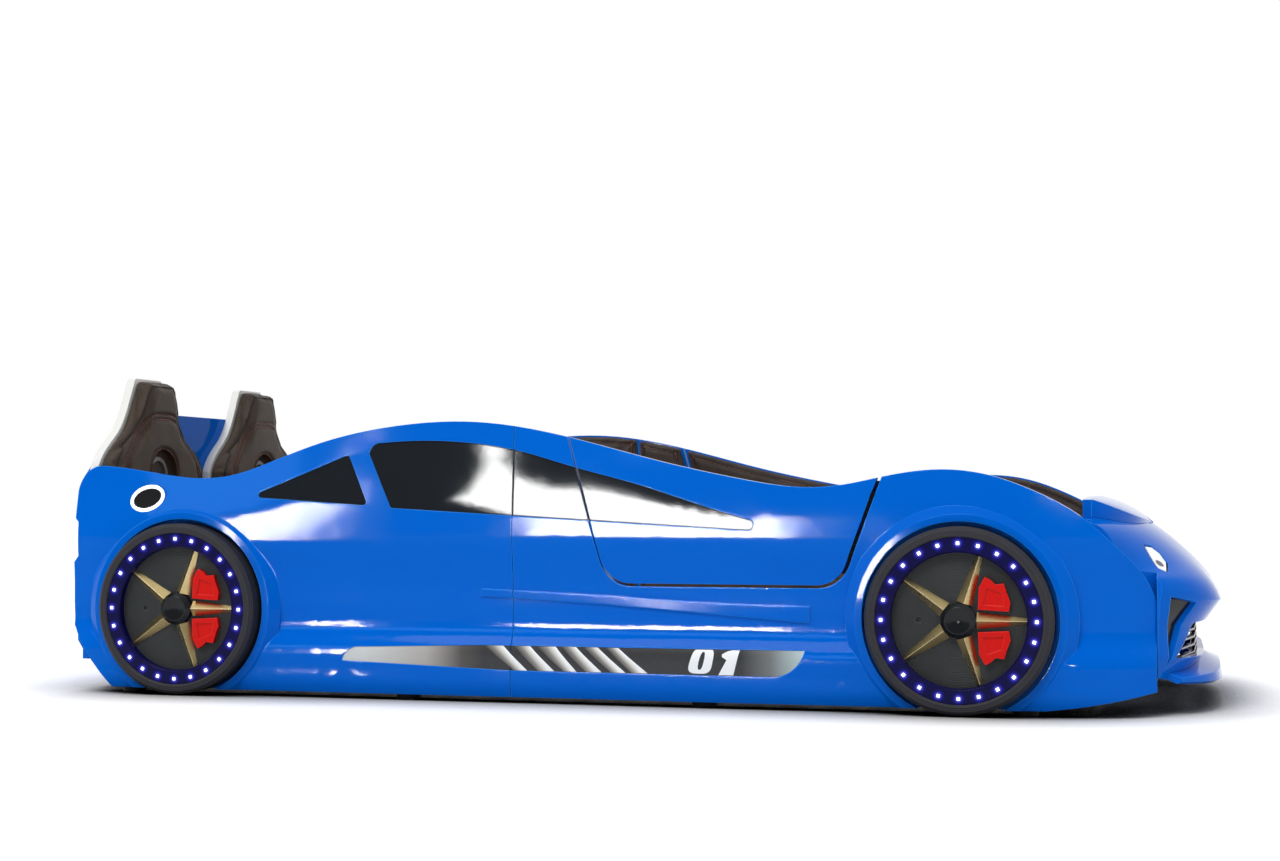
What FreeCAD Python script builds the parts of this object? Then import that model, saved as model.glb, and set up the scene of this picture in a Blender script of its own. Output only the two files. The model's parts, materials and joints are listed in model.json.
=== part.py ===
import FreeCAD
import Part
import math
import os

# A car-shaped bed for a child.  Two sculpted side shells, each in a rear and a front part,
# carry fixed show wheels and a hinged door.  A nose shell with hood, grille and splitter
# closes the foot end, and a headboard with two racing-seat backs closes the head end.
# Millimetres.  +X points to the nose, +Y to the left side, +Z up.  The origin is on the
# floor, midway between tail and nose tip.
# Every side piece is drawn for the right side (negative Y) and mirrored for the left.

V = FreeCAD.Vector

# ---- driving sizes: mattress and side wall build-up --------------------------------------
mattress_width = 900.0
mattress_clearance = 4.0
pad_thickness = 16.0
panel_thickness = 28.0
slat_top_height = 130.0

# ---- driving sizes: length and the main stations along it --------------------------------
bed_length = 2354.0
rear_overhang = 263.0
front_overhang = 480.0
side_front_setback = 123.0
seam_from_rear_axle = 722.0
seam_gap = 1.6
floor_gap = 12.0

# ---- driving sizes: heights of the side line ---------------------------------------------
tail_height = 476.0
waist_height = 449.0
roof_height = 561.0
door_dip_height = 429.0
fender_height = 462.0
front_shoulder_height = 212.0

# ---- driving sizes: wheels ---------------------------------------------------------------
tyre_radius = 176.0
tyre_floor_gap = 3.0
tyre_wall = 20.0
tyre_stand_out = 42.0
tyre_edge = 7.0
arch_gap = 9.0
arch_floor_thickness = 10.0
lip_width = 34.0
lip_height = 13.0
crease_height = 4.0
light_ring_width = 29.0
light_ring_recess = 4.0
disc_recess = 22.0
wheel_fit = 0.4
spoke_count = 5
spoke_root_width = 32.0
spoke_root_height = 15.0
spoke_tip_share = 0.38
hub_radius = 33.0
hub_height = 22.0
caliper_height = 11.0
led_count = 24

# ---- driving sizes: door and hinges ------------------------------------------------------
door_rear_gap = 3.0
door_bottom_gap = 6.0
door_front_gap = 8.0
door_sill_height = 240.0
door_rear_from_seam = 115.0
door_front_from_axle = 158.0
door_corner_radius = 62.0
hinge_depth = 5.0
hinge_radius = 2.5
hinge_pin_radius = 1.3
hinge_pin_clearance = 0.05
hinge_length = 48.0
hinge_leaf_width = 17.0
hinge_leaf_thickness = 1.2
hinge_slack = 0.4
hinge_low = 311.0
hinge_high = 396.0
seal_thickness = 4.0
seal_clearance = 1.0
seal_under_door = 10.0
seal_on_frame = 12.0
seal_foot = 262.0
seal_top = 441.0

# ---- driving sizes: glazing, trim and seats ----------------------------------------------
window_recess = 2.5
window_thickness = 4.0
strip_recess = 1.0
strip_thickness = 2.0
badge_length = 82.0
badge_height = 54.0
badge_ring_width = 8.0
seat_width = 429.0
seat_top_height = 672.0
seat_bottom_height = 335.0
seat_shell_thickness = 18.0
seat_pad_thickness = 38.0
speaker_radius = 44.0
speaker_height = 456.0
niche_depth = 22.0
headboard_thickness = 14.0
tail_panel_thickness = 12.0
headboard_height = 599.0

# ---- driving sizes: nose -----------------------------------------------------------------
nose_depth = 242.0
nose_edge_height = 207.0
nose_edge_rise = 12.0
nose_wall = 14.0
intake_recess = 8.0
nose_rear_height = 397.0
nose_foot = 52.0
corner_foot = 72.0
nose_undercut = 37.0
corner_undercut = 8.0
nose_foot_setback = 75.0
corner_foot_setback = 18.0
nose_sweep = 14.0
nose_corner_sweep = 88.0
nose_corner = 426.0
nose_camber = 30.0
hood_camber = 8.0
hood_rear_step = 15.0
hood_front_step = 5.0
hood_length = 108.0
grille_height = 58.0
grille_thickness = 10.0
grille_bars = 5
grille_bar_height = 4.0
headlight_depth = 10.0
headlight_recess = 3.0
foot_board_thickness = 16.0
joint_gap = 1.0
seat_fit = 0.3

# ---- driving sizes: base -----------------------------------------------------------------
rail_height = 100.0
rail_thickness = 26.0
slat_thickness = 18.0
slat_width = 70.0
slat_count = 12
foot_radius = 25.0
foot_inset = 105.0
foot_count = 4
beam_width = 40.0
beam_height = 50.0
leg_count = 3
slat_end_gap = 30.0
bracket_leg = 60.0
bracket_height = 40.0
bracket_thickness = 3.0
bracket_middle = 85.0
bolt_radius = 3.0
bolt_clearance = 0.2
bolt_bite = 11.0
bolt_inset = 38.0
control_box_side = 250.0
control_box_height = 82.0
inlet_radius = 4.5
inlet_wall = 1.5

# ---- planes and stations that follow from the sizes above --------------------------------
tail_x = -bed_length / 2
nose_x = bed_length / 2
rear_axle = tail_x + rear_overhang
front_axle = nose_x - front_overhang
side_front = nose_x - side_front_setback
seam = rear_axle + seam_from_rear_axle
pad_face = mattress_width / 2 + mattress_clearance
panel_inner = pad_face + pad_thickness
skin_plane = panel_inner + panel_thickness
wheel_height = tyre_radius + tyre_floor_gap
tyre_face = skin_plane + tyre_stand_out
arch_radius = tyre_radius + arch_gap
arch_floor = panel_inner + arch_floor_thickness
ring_outer = tyre_radius - tyre_wall
ring_inner = ring_outer - light_ring_width
ring_face = tyre_face - light_ring_recess
disc_face = tyre_face - disc_recess
taper_start = front_axle + arch_radius + 5
taper_radius = 274.0
tail_round = 70.0
tail_round_start = tail_x + 30
door_rear = seam + door_rear_from_seam
door_front = front_axle - door_front_from_axle
headboard_back = tail_x + tail_panel_thickness
headboard_front = headboard_back + headboard_thickness
nose_back = nose_x - nose_depth
foot_board_face = nose_back - foot_board_thickness
deep = 200.0


# ---- drawing helpers ---------------------------------------------------------------------
def side_point(p, y=0.0):
    """A point of a side view, (along, height)."""
    return V(p[0], y, p[1])


def plan_point(p, z=0.0):
    """A point of a top view, (along, across)."""
    return V(p[0], p[1], z)


def end_point(p, x=0.0):
    """A point of an end view, (across, height)."""
    return V(x, p[0], p[1])


def curve(points):
    """A smooth edge through the points."""
    spline = Part.BSplineCurve()
    spline.interpolate(points)
    return spline.toShape()


def outline(start, steps, place):
    """A closed wire.  A step is ("line", p), ("arc", middle, end) or ("curve", [points])."""
    edges = []
    here = start
    for step in steps:
        if step[0] == "line":
            edges.append(Part.makeLine(place(here), place(step[1])))
            here = step[1]
        elif step[0] == "arc":
            edges.append(Part.Arc(place(here), place(step[1]), place(step[2])).toShape())
            here = step[2]
        else:
            edges.append(curve([place(p) for p in [here] + step[1]]))
            here = step[1][-1]
    if math.dist(here, start) > 1e-6:
        edges.append(Part.makeLine(place(here), place(start)))
    return Part.Wire(edges)


def slab(wire, direction):
    """The solid that a closed flat wire sweeps along a direction."""
    return Part.Face(wire).extrude(direction)


def side_prism(wire, inner=0.0, outer=700.0):
    """A side-view outline cut through the right side, from one half width to another."""
    face = Part.Face(wire)
    face.translate(V(0, -inner, 0))
    return face.extrude(V(0, inner - outer, 0))


def box(x0, x1, y0, y1, z0, z1):
    return Part.makeBox(x1 - x0, y1 - y0, z1 - z0, V(x0, y0, z0))


def rounded(points, radii):
    """A closed side-view wire through the corners, each rounded by its radius."""
    edges = []
    ends = []
    count = len(points)
    for i, (corner, radius) in enumerate(zip(points, radii)):
        before = V(*points[i - 1], 0) - V(*corner, 0)
        after = V(*points[(i + 1) % count], 0) - V(*corner, 0)
        before.normalize()
        after.normalize()
        half = before.getAngle(after) / 2
        cut = radius / math.tan(half)
        middle = before + after
        middle.normalize()
        centre = V(*corner, 0) + middle * (radius / math.sin(half))
        first = V(*corner, 0) + before * cut
        last = V(*corner, 0) + after * cut
        ends.append((first, centre - middle * radius, last, radius))
    for i, (first, top, last, radius) in enumerate(ends):
        if radius > 0:
            edges.append(Part.Arc(V(first.x, 0, first.y), V(top.x, 0, top.y), V(last.x, 0, last.y)).toShape())
        nearest = ends[(i + 1) % count][0]
        edges.append(Part.makeLine(V(last.x, 0, last.y), V(nearest.x, 0, nearest.y)))
    return Part.Wire(edges)


def pushed_out(points, distances):
    """The polygon with each edge, from point i to the next, moved outward by its distance."""
    lines = []
    count = len(points)
    for i in range(count):
        ax, az = points[i]
        bx, bz = points[(i + 1) % count]
        length = math.dist((ax, az), (bx, bz))
        nx, nz = (bz - az) / length, -(bx - ax) / length
        lines.append((ax + nx * distances[i], az + nz * distances[i], bx - ax, bz - az))
    moved = []
    for i in range(count):
        px, pz, pdx, pdz = lines[i - 1]
        qx, qz, qdx, qdz = lines[i]
        t = ((qx - px) * qdz - (qz - pz) * qdx) / (pdx * qdz - pdz * qdx)
        moved.append((px + pdx * t, pz + pdz * t))
    return moved


def mirrored(shape):
    return shape.mirror(V(0, 0, 0), V(0, 1, 0))


def both(shape):
    return Part.makeCompound([shape, mirrored(shape)])


def save(name, shape):
    solids = shape.Solids
    assert solids and all(s.isValid() and s.Volume > 0 for s in solids), name
    keep = solids[0] if len(solids) == 1 else Part.makeCompound(solids)
    keep.exportStep("parts/" + name + ".step")
    print(name, len(solids), round(sum(s.Volume for s in solids) / 1000))


def save_pair(name, shape):
    save(name + "_right", shape)
    save(name + "_left", mirrored(shape))


# ---- the outer skin of a side ------------------------------------------------------------
def blend(t):
    """0 to 1, smooth at both ends."""
    t = min(max(t, 0.0), 1.0)
    return t * t * (3 - 2 * t)


def end_taper(x):
    """How far the skin turns in toward the nose corner and the tail."""
    if x > taper_start:
        run = min(x - taper_start, taper_radius * 0.9)
        return taper_radius - math.sqrt(taper_radius ** 2 - run ** 2)
    if x < tail_round_start:
        run = min(tail_round_start - x, tail_round * 0.9)
        return tail_round - math.sqrt(tail_round ** 2 - run ** 2)
    return 0.0


def upright_section(z):
    """Skin position against its plane: sill bulge, tucked waist, shoulder, leaning glass."""
    sill = 8 * blend(z / 30) * (1 - blend((z - 95) / 45))
    waist = 10 * blend((z - 105) / 45) * (1 - blend((z - 225) / 105))
    lean = 15 * blend((z - 330) / 250)
    return sill - waist - lean


def haunch(x, z):
    """The broad swelling over the rear wheel."""
    reach = math.dist((x, z), (rear_axle, wheel_height)) - arch_radius
    return 10 * (1 - blend(reach / 130)) * blend((z - 120) / 120)


def skin_at(x, z):
    """Half width of the outer skin."""
    return skin_plane + upright_section(z) + haunch(x, z) - end_taper(x)


def skin_face():
    """The outer skin of the right side as one smooth surface, larger than the panels."""
    first, last = tail_x - 10, side_front + 12
    rows = 60
    columns = 30
    grid = []
    for i in range(rows + 1):
        x = first + (last - first) * i / rows
        column = []
        for j in range(columns + 1):
            z = -15 + (roof_height + 45) * j / columns
            column.append(V(x, -skin_at(x, z), z))
        grid.append(column)
    surface = Part.BSplineSurface()
    surface.approximate(Points=grid, DegMin=3, DegMax=5, Continuity=2, Tolerance=0.8)
    return surface.toShape()


def side_outline():
    """Side view of a whole side: tail, roof line, door dip, front fender and straight foot."""
    tail_foot = tail_x + 100
    corner = [(tail_x + 17, tail_height - 30), (tail_x + 39, tail_height - 7), (tail_x + 67, tail_height)]
    roof = [
        (rear_axle - 44, waist_height + 7),
        (rear_axle + 37, waist_height),
        (rear_axle + 114, waist_height + 8),
        (rear_axle + 185, waist_height + 31),
        (rear_axle + 308, roof_height - 38),
        (rear_axle + 434, roof_height - 11),
        (seam - 77, roof_height),
        (door_rear, roof_height - 32),
        (door_rear + 181, door_dip_height + 53),
        (door_rear + 351, door_dip_height + 16),
        (door_rear + 469, door_dip_height),
        (door_front - 69, door_dip_height + 4),
        (door_front + 12, fender_height - 13),
        (front_axle - 45, fender_height),
        (front_axle + 20, fender_height - 4),
        (front_axle + 76, fender_height - 17),
        (front_axle + 131, fender_height - 38),
        (front_axle + 222, fender_height - 88),
        (side_front - 79, front_shoulder_height + 113),
        (side_front - 18, front_shoulder_height + 45),
        (side_front, front_shoulder_height),
    ]
    steps = [
        ("line", (tail_x + 52, floor_gap + 54)),
        ("line", (tail_x, floor_gap + 127)),
        ("line", (tail_x, tail_height - 204)),
        ("line", (tail_x + 12, tail_height - 191)),
        ("line", (tail_x + 12, tail_height - 119)),
        ("line", (tail_x + 4, tail_height - 111)),
        ("line", (tail_x + 8, tail_height - 62)),
        ("curve", corner),
        ("curve", roof),
        ("line", (side_front, floor_gap + 36)),
        ("curve", [(side_front - 90, floor_gap + 16), (side_front - 200, floor_gap)]),
    ]
    return outline((tail_foot, floor_gap), steps, side_point)


# ---- the door's shape, used for the door, its opening, pad and glass ---------------------
door_rake = 0.366
door_rear_rake = 0.284


def door_corners():
    """The door's corners, anticlockwise in side view, before rounding.  The top is open air."""
    above = roof_height + 60
    rear_foot = door_rear + (roof_height - 32 - door_sill_height) * door_rear_rake
    rear_top = door_rear - (above - roof_height + 32) * door_rear_rake
    front_foot = door_front - (fender_height - 16 - door_sill_height) * door_rake
    front_top = door_front + (above - fender_height + 16) * door_rake
    return [
        (rear_foot, door_sill_height),
        (front_foot, door_sill_height),
        (front_top, above),
        (rear_top, above),
    ]


def door_outline(bottom=0.0, front=0.0, rear=0.0):
    """The door's outline, each edge pushed outward by its own distance."""
    corners = pushed_out(door_corners(), [bottom, front, 0.0, rear])
    return rounded(corners, [door_corner_radius + rear, door_corner_radius + front, 0.0, 0.0])


# ---- window, strip and badge outlines ----------------------------------------------------
def quarter_window_outline():
    low = waist_height - 49
    points = [(rear_axle + 147, low + 10), (rear_axle + 412, low - 8), (rear_axle + 366, roof_height - 64)]
    return rounded(points, [6, 7, 8])


def main_window_outline():
    """The long side window: parallel to the roof line above, almost level below."""
    start = (rear_axle + 458, roof_height - 166)
    steps = [
        ("arc", (rear_axle + 461, roof_height - 172), (rear_axle + 469, roof_height - 174)),
        ("line", (door_front - 250, door_dip_height - 84)),
        ("arc", (door_front - 239, door_dip_height - 76), (door_front - 244, door_dip_height - 64)),
        ("curve", [
            (door_front - 344, door_dip_height - 35),
            (door_rear + 150, door_dip_height + 4),
            (door_rear + 6, roof_height - 90),
            (seam + 16, roof_height - 60),
            (seam - 76, roof_height - 44),
            (seam - 176, roof_height - 37),
            (rear_axle + 438, roof_height - 41),
        ]),
        ("arc", (rear_axle + 419, roof_height - 47), (rear_axle + 411, roof_height - 64)),
    ]
    return outline(start, steps, side_point)


def strip_outline():
    low = floor_gap + 56
    steps = [
        ("line", (seam, low - 3)),
        ("line", (front_axle - 353, low - 4)),
        ("arc", (front_axle - 317, low + 12), (front_axle - 296, low + 47)),
        ("line", (seam - 66, low + 46)),
        ("line", (rear_axle + 390, low + 38)),
        ("arc", (rear_axle + 372, low + 29), (rear_axle + 361, low + 10)),
    ]
    return outline((rear_axle + 361, low + 10), steps, side_point)


def badge_ellipse(shrink):
    """An ellipse on the rear fender, tipped up to the front, as a side-view wire."""
    ellipse = Part.Ellipse(V(0, 0, 0), badge_length / 2 - shrink, badge_height / 2 - shrink)
    wire = Part.Wire([ellipse.toShape()])
    wire.rotate(V(0, 0, 0), V(1, 0, 0), 90)
    wire.rotate(V(0, 0, 0), V(0, 1, 0), -18)
    wire.translate(V(rear_axle - 82, 0, tail_height - 69))
    return wire


def crease_outline():
    """The long raised wedge below the door: thin at the rear wheel, deeper at the front one."""
    start = (rear_axle + 656, front_shoulder_height)
    steps = [
        ("line", (door_rear + 69, front_shoulder_height - 13)),
        ("line", (front_axle - 502, front_shoulder_height - 28)),
        ("line", (front_axle - 289, front_shoulder_height - 44)),
        ("line", (front_axle - 289, front_shoulder_height - 13)),
        ("line", (front_axle - 462, front_shoulder_height - 10)),
        ("line", (door_rear + 69, front_shoulder_height + 3)),
        ("line", (rear_axle + 656, front_shoulder_height + 14)),
    ]
    return outline(start, steps, side_point)


# ---- side panels, glass and trim ---------------------------------------------------------
def inner_block():
    """Everything inboard of the side panels, with the turned-in nose corner."""
    turn = [
        (taper_start + (side_front + 30 - taper_start) * i / 6, 0) for i in range(1, 7)
    ]
    turned = [(x, -(panel_inner - end_taper(x))) for x, _ in turn]
    steps = [
        ("line", (taper_start, -panel_inner)),
        ("curve", turned),
        ("line", (side_front + 30, 20)),
        ("line", (tail_x - 50, 20)),
    ]
    wire = outline((tail_x - 50, -panel_inner), steps, plan_point)
    wire.translate(V(0, 0, -50))
    return slab(wire, V(0, 0, roof_height + 200))


def arch_lip(axle):
    """A rolled lip round a wheel opening, as a ring."""
    crest = skin_plane + lip_height
    edge = (arch_radius + lip_width, skin_plane - 4)
    steps = [
        ("line", (arch_radius, crest)),
        ("line", (arch_radius + lip_width * 0.4, crest - 1)),
        ("line", edge),
        ("line", (arch_radius + lip_width, arch_floor)),
    ]
    wire = outline((arch_radius, arch_floor), steps, lambda p: V(p[0], -p[1], 0))
    ring = Part.Face(wire).revolve(V(0, 0, 0), V(0, 1, 0), 360)
    ring.translate(V(axle, 0, wheel_height))
    return ring


def arch_pocket(axle):
    return Part.makeCylinder(arch_radius, deep, V(axle, -arch_floor, wheel_height), V(0, -1, 0))


def set_in(skin, prism, depth, thickness):
    """A plate that lies in a recess of the skin, and the recess itself."""
    floor = skin.copy()
    floor.translate(V(0, depth, 0))
    bed = floor.common(prism)
    plates = [f.extrude(V(0, -thickness, 0)) for f in bed.Faces]
    recess = [f.extrude(V(0, -deep, 0)) for f in bed.Faces]
    return plates, recess


def cut_all(shape, tools):
    for tool in tools:
        shape = shape.cut(tool)
    return shape


def side_pieces():
    """The right side's shells, glass, strips and badge, and the door with its glass."""
    skin = skin_face()
    whole = side_prism(side_outline())
    inboard = inner_block()
    half = seam_gap / 2
    rear_zone = box(tail_x - 60, seam - half, -700, 0, -60, roof_height + 90)
    front_zone = box(seam + half, side_front + 60, -700, 0, -60, roof_height + 90)
    door_hole = side_prism(door_outline(door_bottom_gap, door_front_gap, door_rear_gap))
    door_zone = side_prism(door_outline())
    front_zone = front_zone.cut(door_hole)
    trimmed = skin.common(whole)
    window = side_prism(main_window_outline())
    quarter = side_prism(quarter_window_outline())
    strip = side_prism(strip_outline())
    _, window_recesses = set_in(skin, window, window_recess + window_thickness, 1)
    quarter_panes, quarter_recess = set_in(
        skin, quarter, window_recess + window_thickness, window_thickness
    )
    _, strip_recesses = set_in(skin, strip, strip_recess + strip_thickness, 1)
    crease = side_prism(crease_outline())
    made = {"quarter_window": quarter_panes[0]}

    badge_seat = skin_at(rear_axle - 82, tail_height - 69)
    badge_hole = side_prism(badge_ellipse(0), badge_seat - 6, badge_seat + 60)
    shells = {"side_rear": rear_zone, "side_front": front_zone, "door": door_zone}
    axles = {"side_rear": rear_axle, "side_front": front_axle}
    for name, zone in shells.items():
        face = trimmed.common(zone)
        shell = face.Faces[0].extrude(V(0, deep, 0)).cut(inboard)
        if name in axles:
            axle = axles[name]
            lip = arch_lip(axle).common(whole).common(zone).cut(inboard)
            wedges = [
                f.extrude(V(0, -crease_height, 0)).fuse(f.extrude(V(0, crease_height, 0)))
                for f in skin.common(crease).common(zone).Faces
            ]
            shell = shell.fuse([lip] + wedges).cut(arch_pocket(axle))
            shell = cut_all(shell, strip_recesses)
        shell = cut_all(shell, window_recesses)
        if name == "side_rear":
            shell = cut_all(shell, quarter_recess + [badge_hole])
        made[name] = max(shell.Solids, key=lambda s: s.Volume)

    middle_zone = front_zone.common(box(seam, door_rear + 200, -700, 0, -60, roof_height + 90))
    panes = {"rear_window": rear_zone, "middle_window": middle_zone, "door_window": door_zone}
    for name, zone in panes.items():
        plates, _ = set_in(
            skin, window.common(zone), window_recess + window_thickness, window_thickness
        )
        made[name] = max(plates, key=lambda s: s.Volume)
    strips = []
    for zone in (rear_zone, front_zone):
        plates, _ = set_in(skin, strip.common(zone), strip_recess + strip_thickness, strip_thickness)
        strips.append(max(plates, key=lambda s: s.Volume))
    made["sill_strip"] = Part.makeCompound(strips)

    ring = side_prism(badge_ellipse(0), badge_seat - 6, badge_seat + 3)
    made["badge_dome"] = side_prism(badge_ellipse(badge_ring_width + seat_fit), badge_seat - 6, badge_seat + 1)
    made["badge_ring"] = ring.cut(
        side_prism(badge_ellipse(badge_ring_width), badge_seat - 20, badge_seat + 20)
    )
    return made


# ---- soft inner pads ---------------------------------------------------------------------
pad_foot = slat_top_height + 20
pad_inset = 3.0
pad_rear_end = headboard_front + seat_shell_thickness + seat_pad_thickness + 6
pad_edge_round = 5.0


def pad_shape(zone):
    """The upholstered lining of one zone of the side, its inner edges rolled."""
    lining = side_prism(side_outline(), pad_face, panel_inner).common(zone).common(inner_block())
    lining = max(lining.Solids, key=lambda s: s.Volume)
    edges = [
        e for e in lining.Edges
        if all(abs(v.Y + pad_face) < 0.01 for v in e.Vertexes) and e.CenterOfMass.z > pad_foot + 1
    ]
    rolled = lining.makeChamfer(pad_edge_round, edges)
    return rolled if rolled.isValid() and rolled.Solids else lining


def inner_pads():
    tall = roof_height + 90
    half = seam_gap / 2
    rear = box(pad_rear_end, seam - half, -700, 0, pad_foot, tall)
    hole = side_prism(
        door_outline(door_bottom_gap + pad_inset, door_front_gap + pad_inset + 14, door_rear_gap + pad_inset)
    )
    front = box(seam + half, foot_board_face - joint_gap, -700, 0, pad_foot, tall).cut(hole)
    door = side_prism(door_outline(-pad_inset, -pad_inset - 14, -pad_inset))
    return pad_shape(rear), pad_shape(front), pad_shape(door)


# ---- wheels ------------------------------------------------------------------------------
def turned(points_and_arcs, start, axle):
    """A ring or disc turned about a wheel's axle from an outline of (radius, half width)."""
    wire = outline(start, points_and_arcs, lambda p: V(p[0], -p[1], 0))
    solid = Part.Face(wire).revolve(V(0, 0, 0), V(0, 1, 0), 360)
    solid.translate(V(axle, 0, wheel_height))
    return solid


def tyre(axle):
    steps = [
        ("line", (tyre_radius, arch_floor)),
        ("line", (tyre_radius, tyre_face - tyre_edge)),
        ("line", (tyre_radius - tyre_edge, tyre_face)),
        ("line", (ring_outer + 3, tyre_face)),
        ("line", (ring_outer, tyre_face - 3)),
    ]
    return turned(steps, (ring_outer, arch_floor), axle)


def light_ring(axle):
    outer = ring_outer - wheel_fit
    steps = [
        ("line", (outer, arch_floor)),
        ("line", (outer, ring_face)),
        ("line", (ring_inner + 3, ring_face)),
        ("line", (ring_inner, ring_face - 3)),
    ]
    return turned(steps, (ring_inner, arch_floor), axle)


def wheel_disc(axle):
    outer = ring_inner - wheel_fit
    disc = Part.makeCylinder(outer, disc_face - arch_floor, V(axle, -arch_floor, wheel_height), V(0, -1, 0))
    valve = Part.makeCylinder(6, 4, V(axle - 76, -disc_face + 4, wheel_height), V(0, -1, 0))
    return disc.cut(valve)


def spoke(axle, angle):
    """A tapered ridge from the hub to the light ring."""
    def ridge(radius, width, height):
        return Part.makePolygon([
            V(radius, -disc_face, -width / 2),
            V(radius, -disc_face - height, 0),
            V(radius, -disc_face, width / 2),
            V(radius, -disc_face, -width / 2),
        ])
    root = ridge(hub_radius + wheel_fit, spoke_root_width, spoke_root_height)
    tip = ridge(
        ring_inner - 2 * wheel_fit, spoke_root_width * spoke_tip_share, spoke_root_height * spoke_tip_share
    )
    bar = Part.makeLoft([root, tip], True, True)
    bar.rotate(V(0, 0, 0), V(0, 1, 0), -angle)
    bar.translate(V(axle, 0, wheel_height))
    return bar


def spokes(axle):
    return [spoke(axle, i * 360 / spoke_count) for i in range(spoke_count)]


def caliper(axle, side):
    """One brake caliper block: straight toward the front spoke, stepped on its far side."""
    points = [(36, 21), (93, 18), (96, 35), (89, 53), (84, 70), (68, 68), (60, 76), (49, 82), (38, 62)]
    placed = [(axle + x, wheel_height + side * z) for x, z in points]
    wire = Part.makePolygon([side_point(p) for p in placed + placed[:1]])
    block = side_prism(wire, disc_face, disc_face + caliper_height)
    ridge = [(45, 30), (84, 28), (80, 52), (52, 62)]
    placed = [(axle + x, wheel_height + side * z) for x, z in ridge]
    wire = Part.makePolygon([side_point(p) for p in placed + placed[:1]])
    return block.cut(side_prism(wire, disc_face + caliper_height - 3, disc_face + 40))


def hub_cap(axle):
    """A round cap with a chamfered rim and a dished face."""
    steps = [
        ("line", (hub_radius, disc_face)),
        ("line", (hub_radius, disc_face + hub_height - 8)),
        ("line", (hub_radius - 8, disc_face + hub_height)),
        ("line", (0, disc_face + hub_height - 4)),
    ]
    return turned(steps, (0, disc_face), axle)


# ---- door hinges -------------------------------------------------------------------------
rake_angle = math.atan(door_rake)
hinge_line = skin_plane - hinge_depth


def hinge_frame_x(height):
    """Middle of the front door gap at a height."""
    middle = door_front_gap / 2 / math.cos(rake_angle)
    return door_front + (height - fender_height + 16) * door_rake + middle


def on_hinge_axis(shape, height):
    """Takes a piece drawn on an upright axis at the origin to the raked hinge line."""
    shape.rotate(V(0, 0, 0), V(0, 1, 0), math.degrees(rake_angle))
    shape.translate(V(hinge_frame_x(height), -hinge_line, height))
    return shape


def hinge_parts(height):
    """Frame leaf, door leaf and pin of one raked butt hinge, its three knuckles on the pin."""
    half = hinge_length / 2
    third = hinge_length / 6
    bore = hinge_pin_radius + hinge_pin_clearance
    gap = door_front_gap / 2

    def knuckle(low, high):
        return Part.makeCylinder(hinge_radius, high - low, V(0, 0, low))

    def leaf(low, high, side):
        near = min(side * gap, side * (gap - hinge_leaf_thickness))
        return box(near, near + hinge_leaf_thickness, 0, hinge_leaf_width, low, high)

    def web(low, high, side):
        near = min(0, side * gap)
        return box(near, near + gap, 0, hinge_leaf_thickness, low, high)

    pin = Part.makeCylinder(hinge_pin_radius, hinge_length, V(0, 0, -half))
    drill = Part.makeCylinder(bore, hinge_length + 2, V(0, 0, -half - 1))
    frame = leaf(-half, half, 1)
    for low, high in ((-half, -third), (third, half)):
        frame = frame.fuse(knuckle(low, high)).fuse(web(low, high, 1))
    door = leaf(-half, half, -1)
    low, high = -third + hinge_slack, third - hinge_slack
    door = door.fuse(knuckle(low, high)).fuse(web(low, high, -1))
    frame = frame.removeSplitter().cut(drill)
    door = door.removeSplitter().cut(drill)
    return [on_hinge_axis(s, height) for s in (frame, door, pin)]


def door_seal():
    """A rubber strip on the frame that closes the hinge gap from behind, clear of the door."""
    cover = side_prism(
        door_outline(front=door_front_gap + seal_on_frame), panel_inner - seal_clearance - seal_thickness, panel_inner
    )
    bare = side_prism(door_outline(front=-seal_under_door), 0)
    clearance = side_prism(
        door_outline(front=door_front_gap), panel_inner - seal_clearance, panel_inner + seal_clearance
    )
    reach = box(door_front - deep, door_front + deep, -skin_plane, 0, seal_foot, seal_top)
    return cover.cut(bare).cut(clearance).common(reach)


# ---- nose --------------------------------------------------------------------------------
def nose_front(y):
    """Plan line of the nose tip edge: blunt in the middle, swept back to the corners."""
    across = abs(y) / nose_corner
    return nose_x - nose_sweep * across ** 2 - nose_corner_sweep * across ** 5


def fading(middle, corner, y):
    """A size that goes from its value in the middle of the nose to its value at the corner."""
    return middle + (corner - middle) * (abs(y) / nose_corner) ** 4


def nose_section(y, inset, camber):
    """Side view of the nose at a distance across.  The cavity's sections are straight-sided."""
    across = abs(y) / nose_corner
    front = nose_front(y) - inset
    top = nose_rear_height - camber * across ** 2 - inset
    edge = nose_edge_height + nose_edge_rise * across ** 2
    back = nose_back - (30 if inset else 0)
    foot = fading(nose_foot, corner_foot, y) - (100 if inset else 0)
    low_edge = edge - 50 - grille_height
    undercut = fading(nose_undercut, corner_undercut, y)
    crown = [
        (nose_back + 0.36 * (front - nose_back), top - 30),
        (nose_back + 0.72 * (front - nose_back), top - 97),
        (nose_back + 0.91 * (front - nose_back), edge + 41 - inset * 0.3),
        (front, edge),
    ]
    steps = [
        ("line", (back, top)),
        *([("line", p) for p in crown] if inset else [("curve", crown)]),
        ("line", (front - undercut, edge - 50 + inset * 0.2)),
        ("line", (front - undercut, low_edge)),
        ("line", (front - fading(nose_foot_setback, corner_foot_setback, y), foot)),
    ]
    return outline((back, foot), steps, lambda p: side_point(p, y))


def nose_body(inset, camber=nose_camber):
    stations = [-470 + inset, -nose_corner, -345, -200, 0, 200, 345, nose_corner, 470 - inset]
    return Part.makeLoft([nose_section(y, inset, camber) for y in stations], True, inset > 0)


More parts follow.
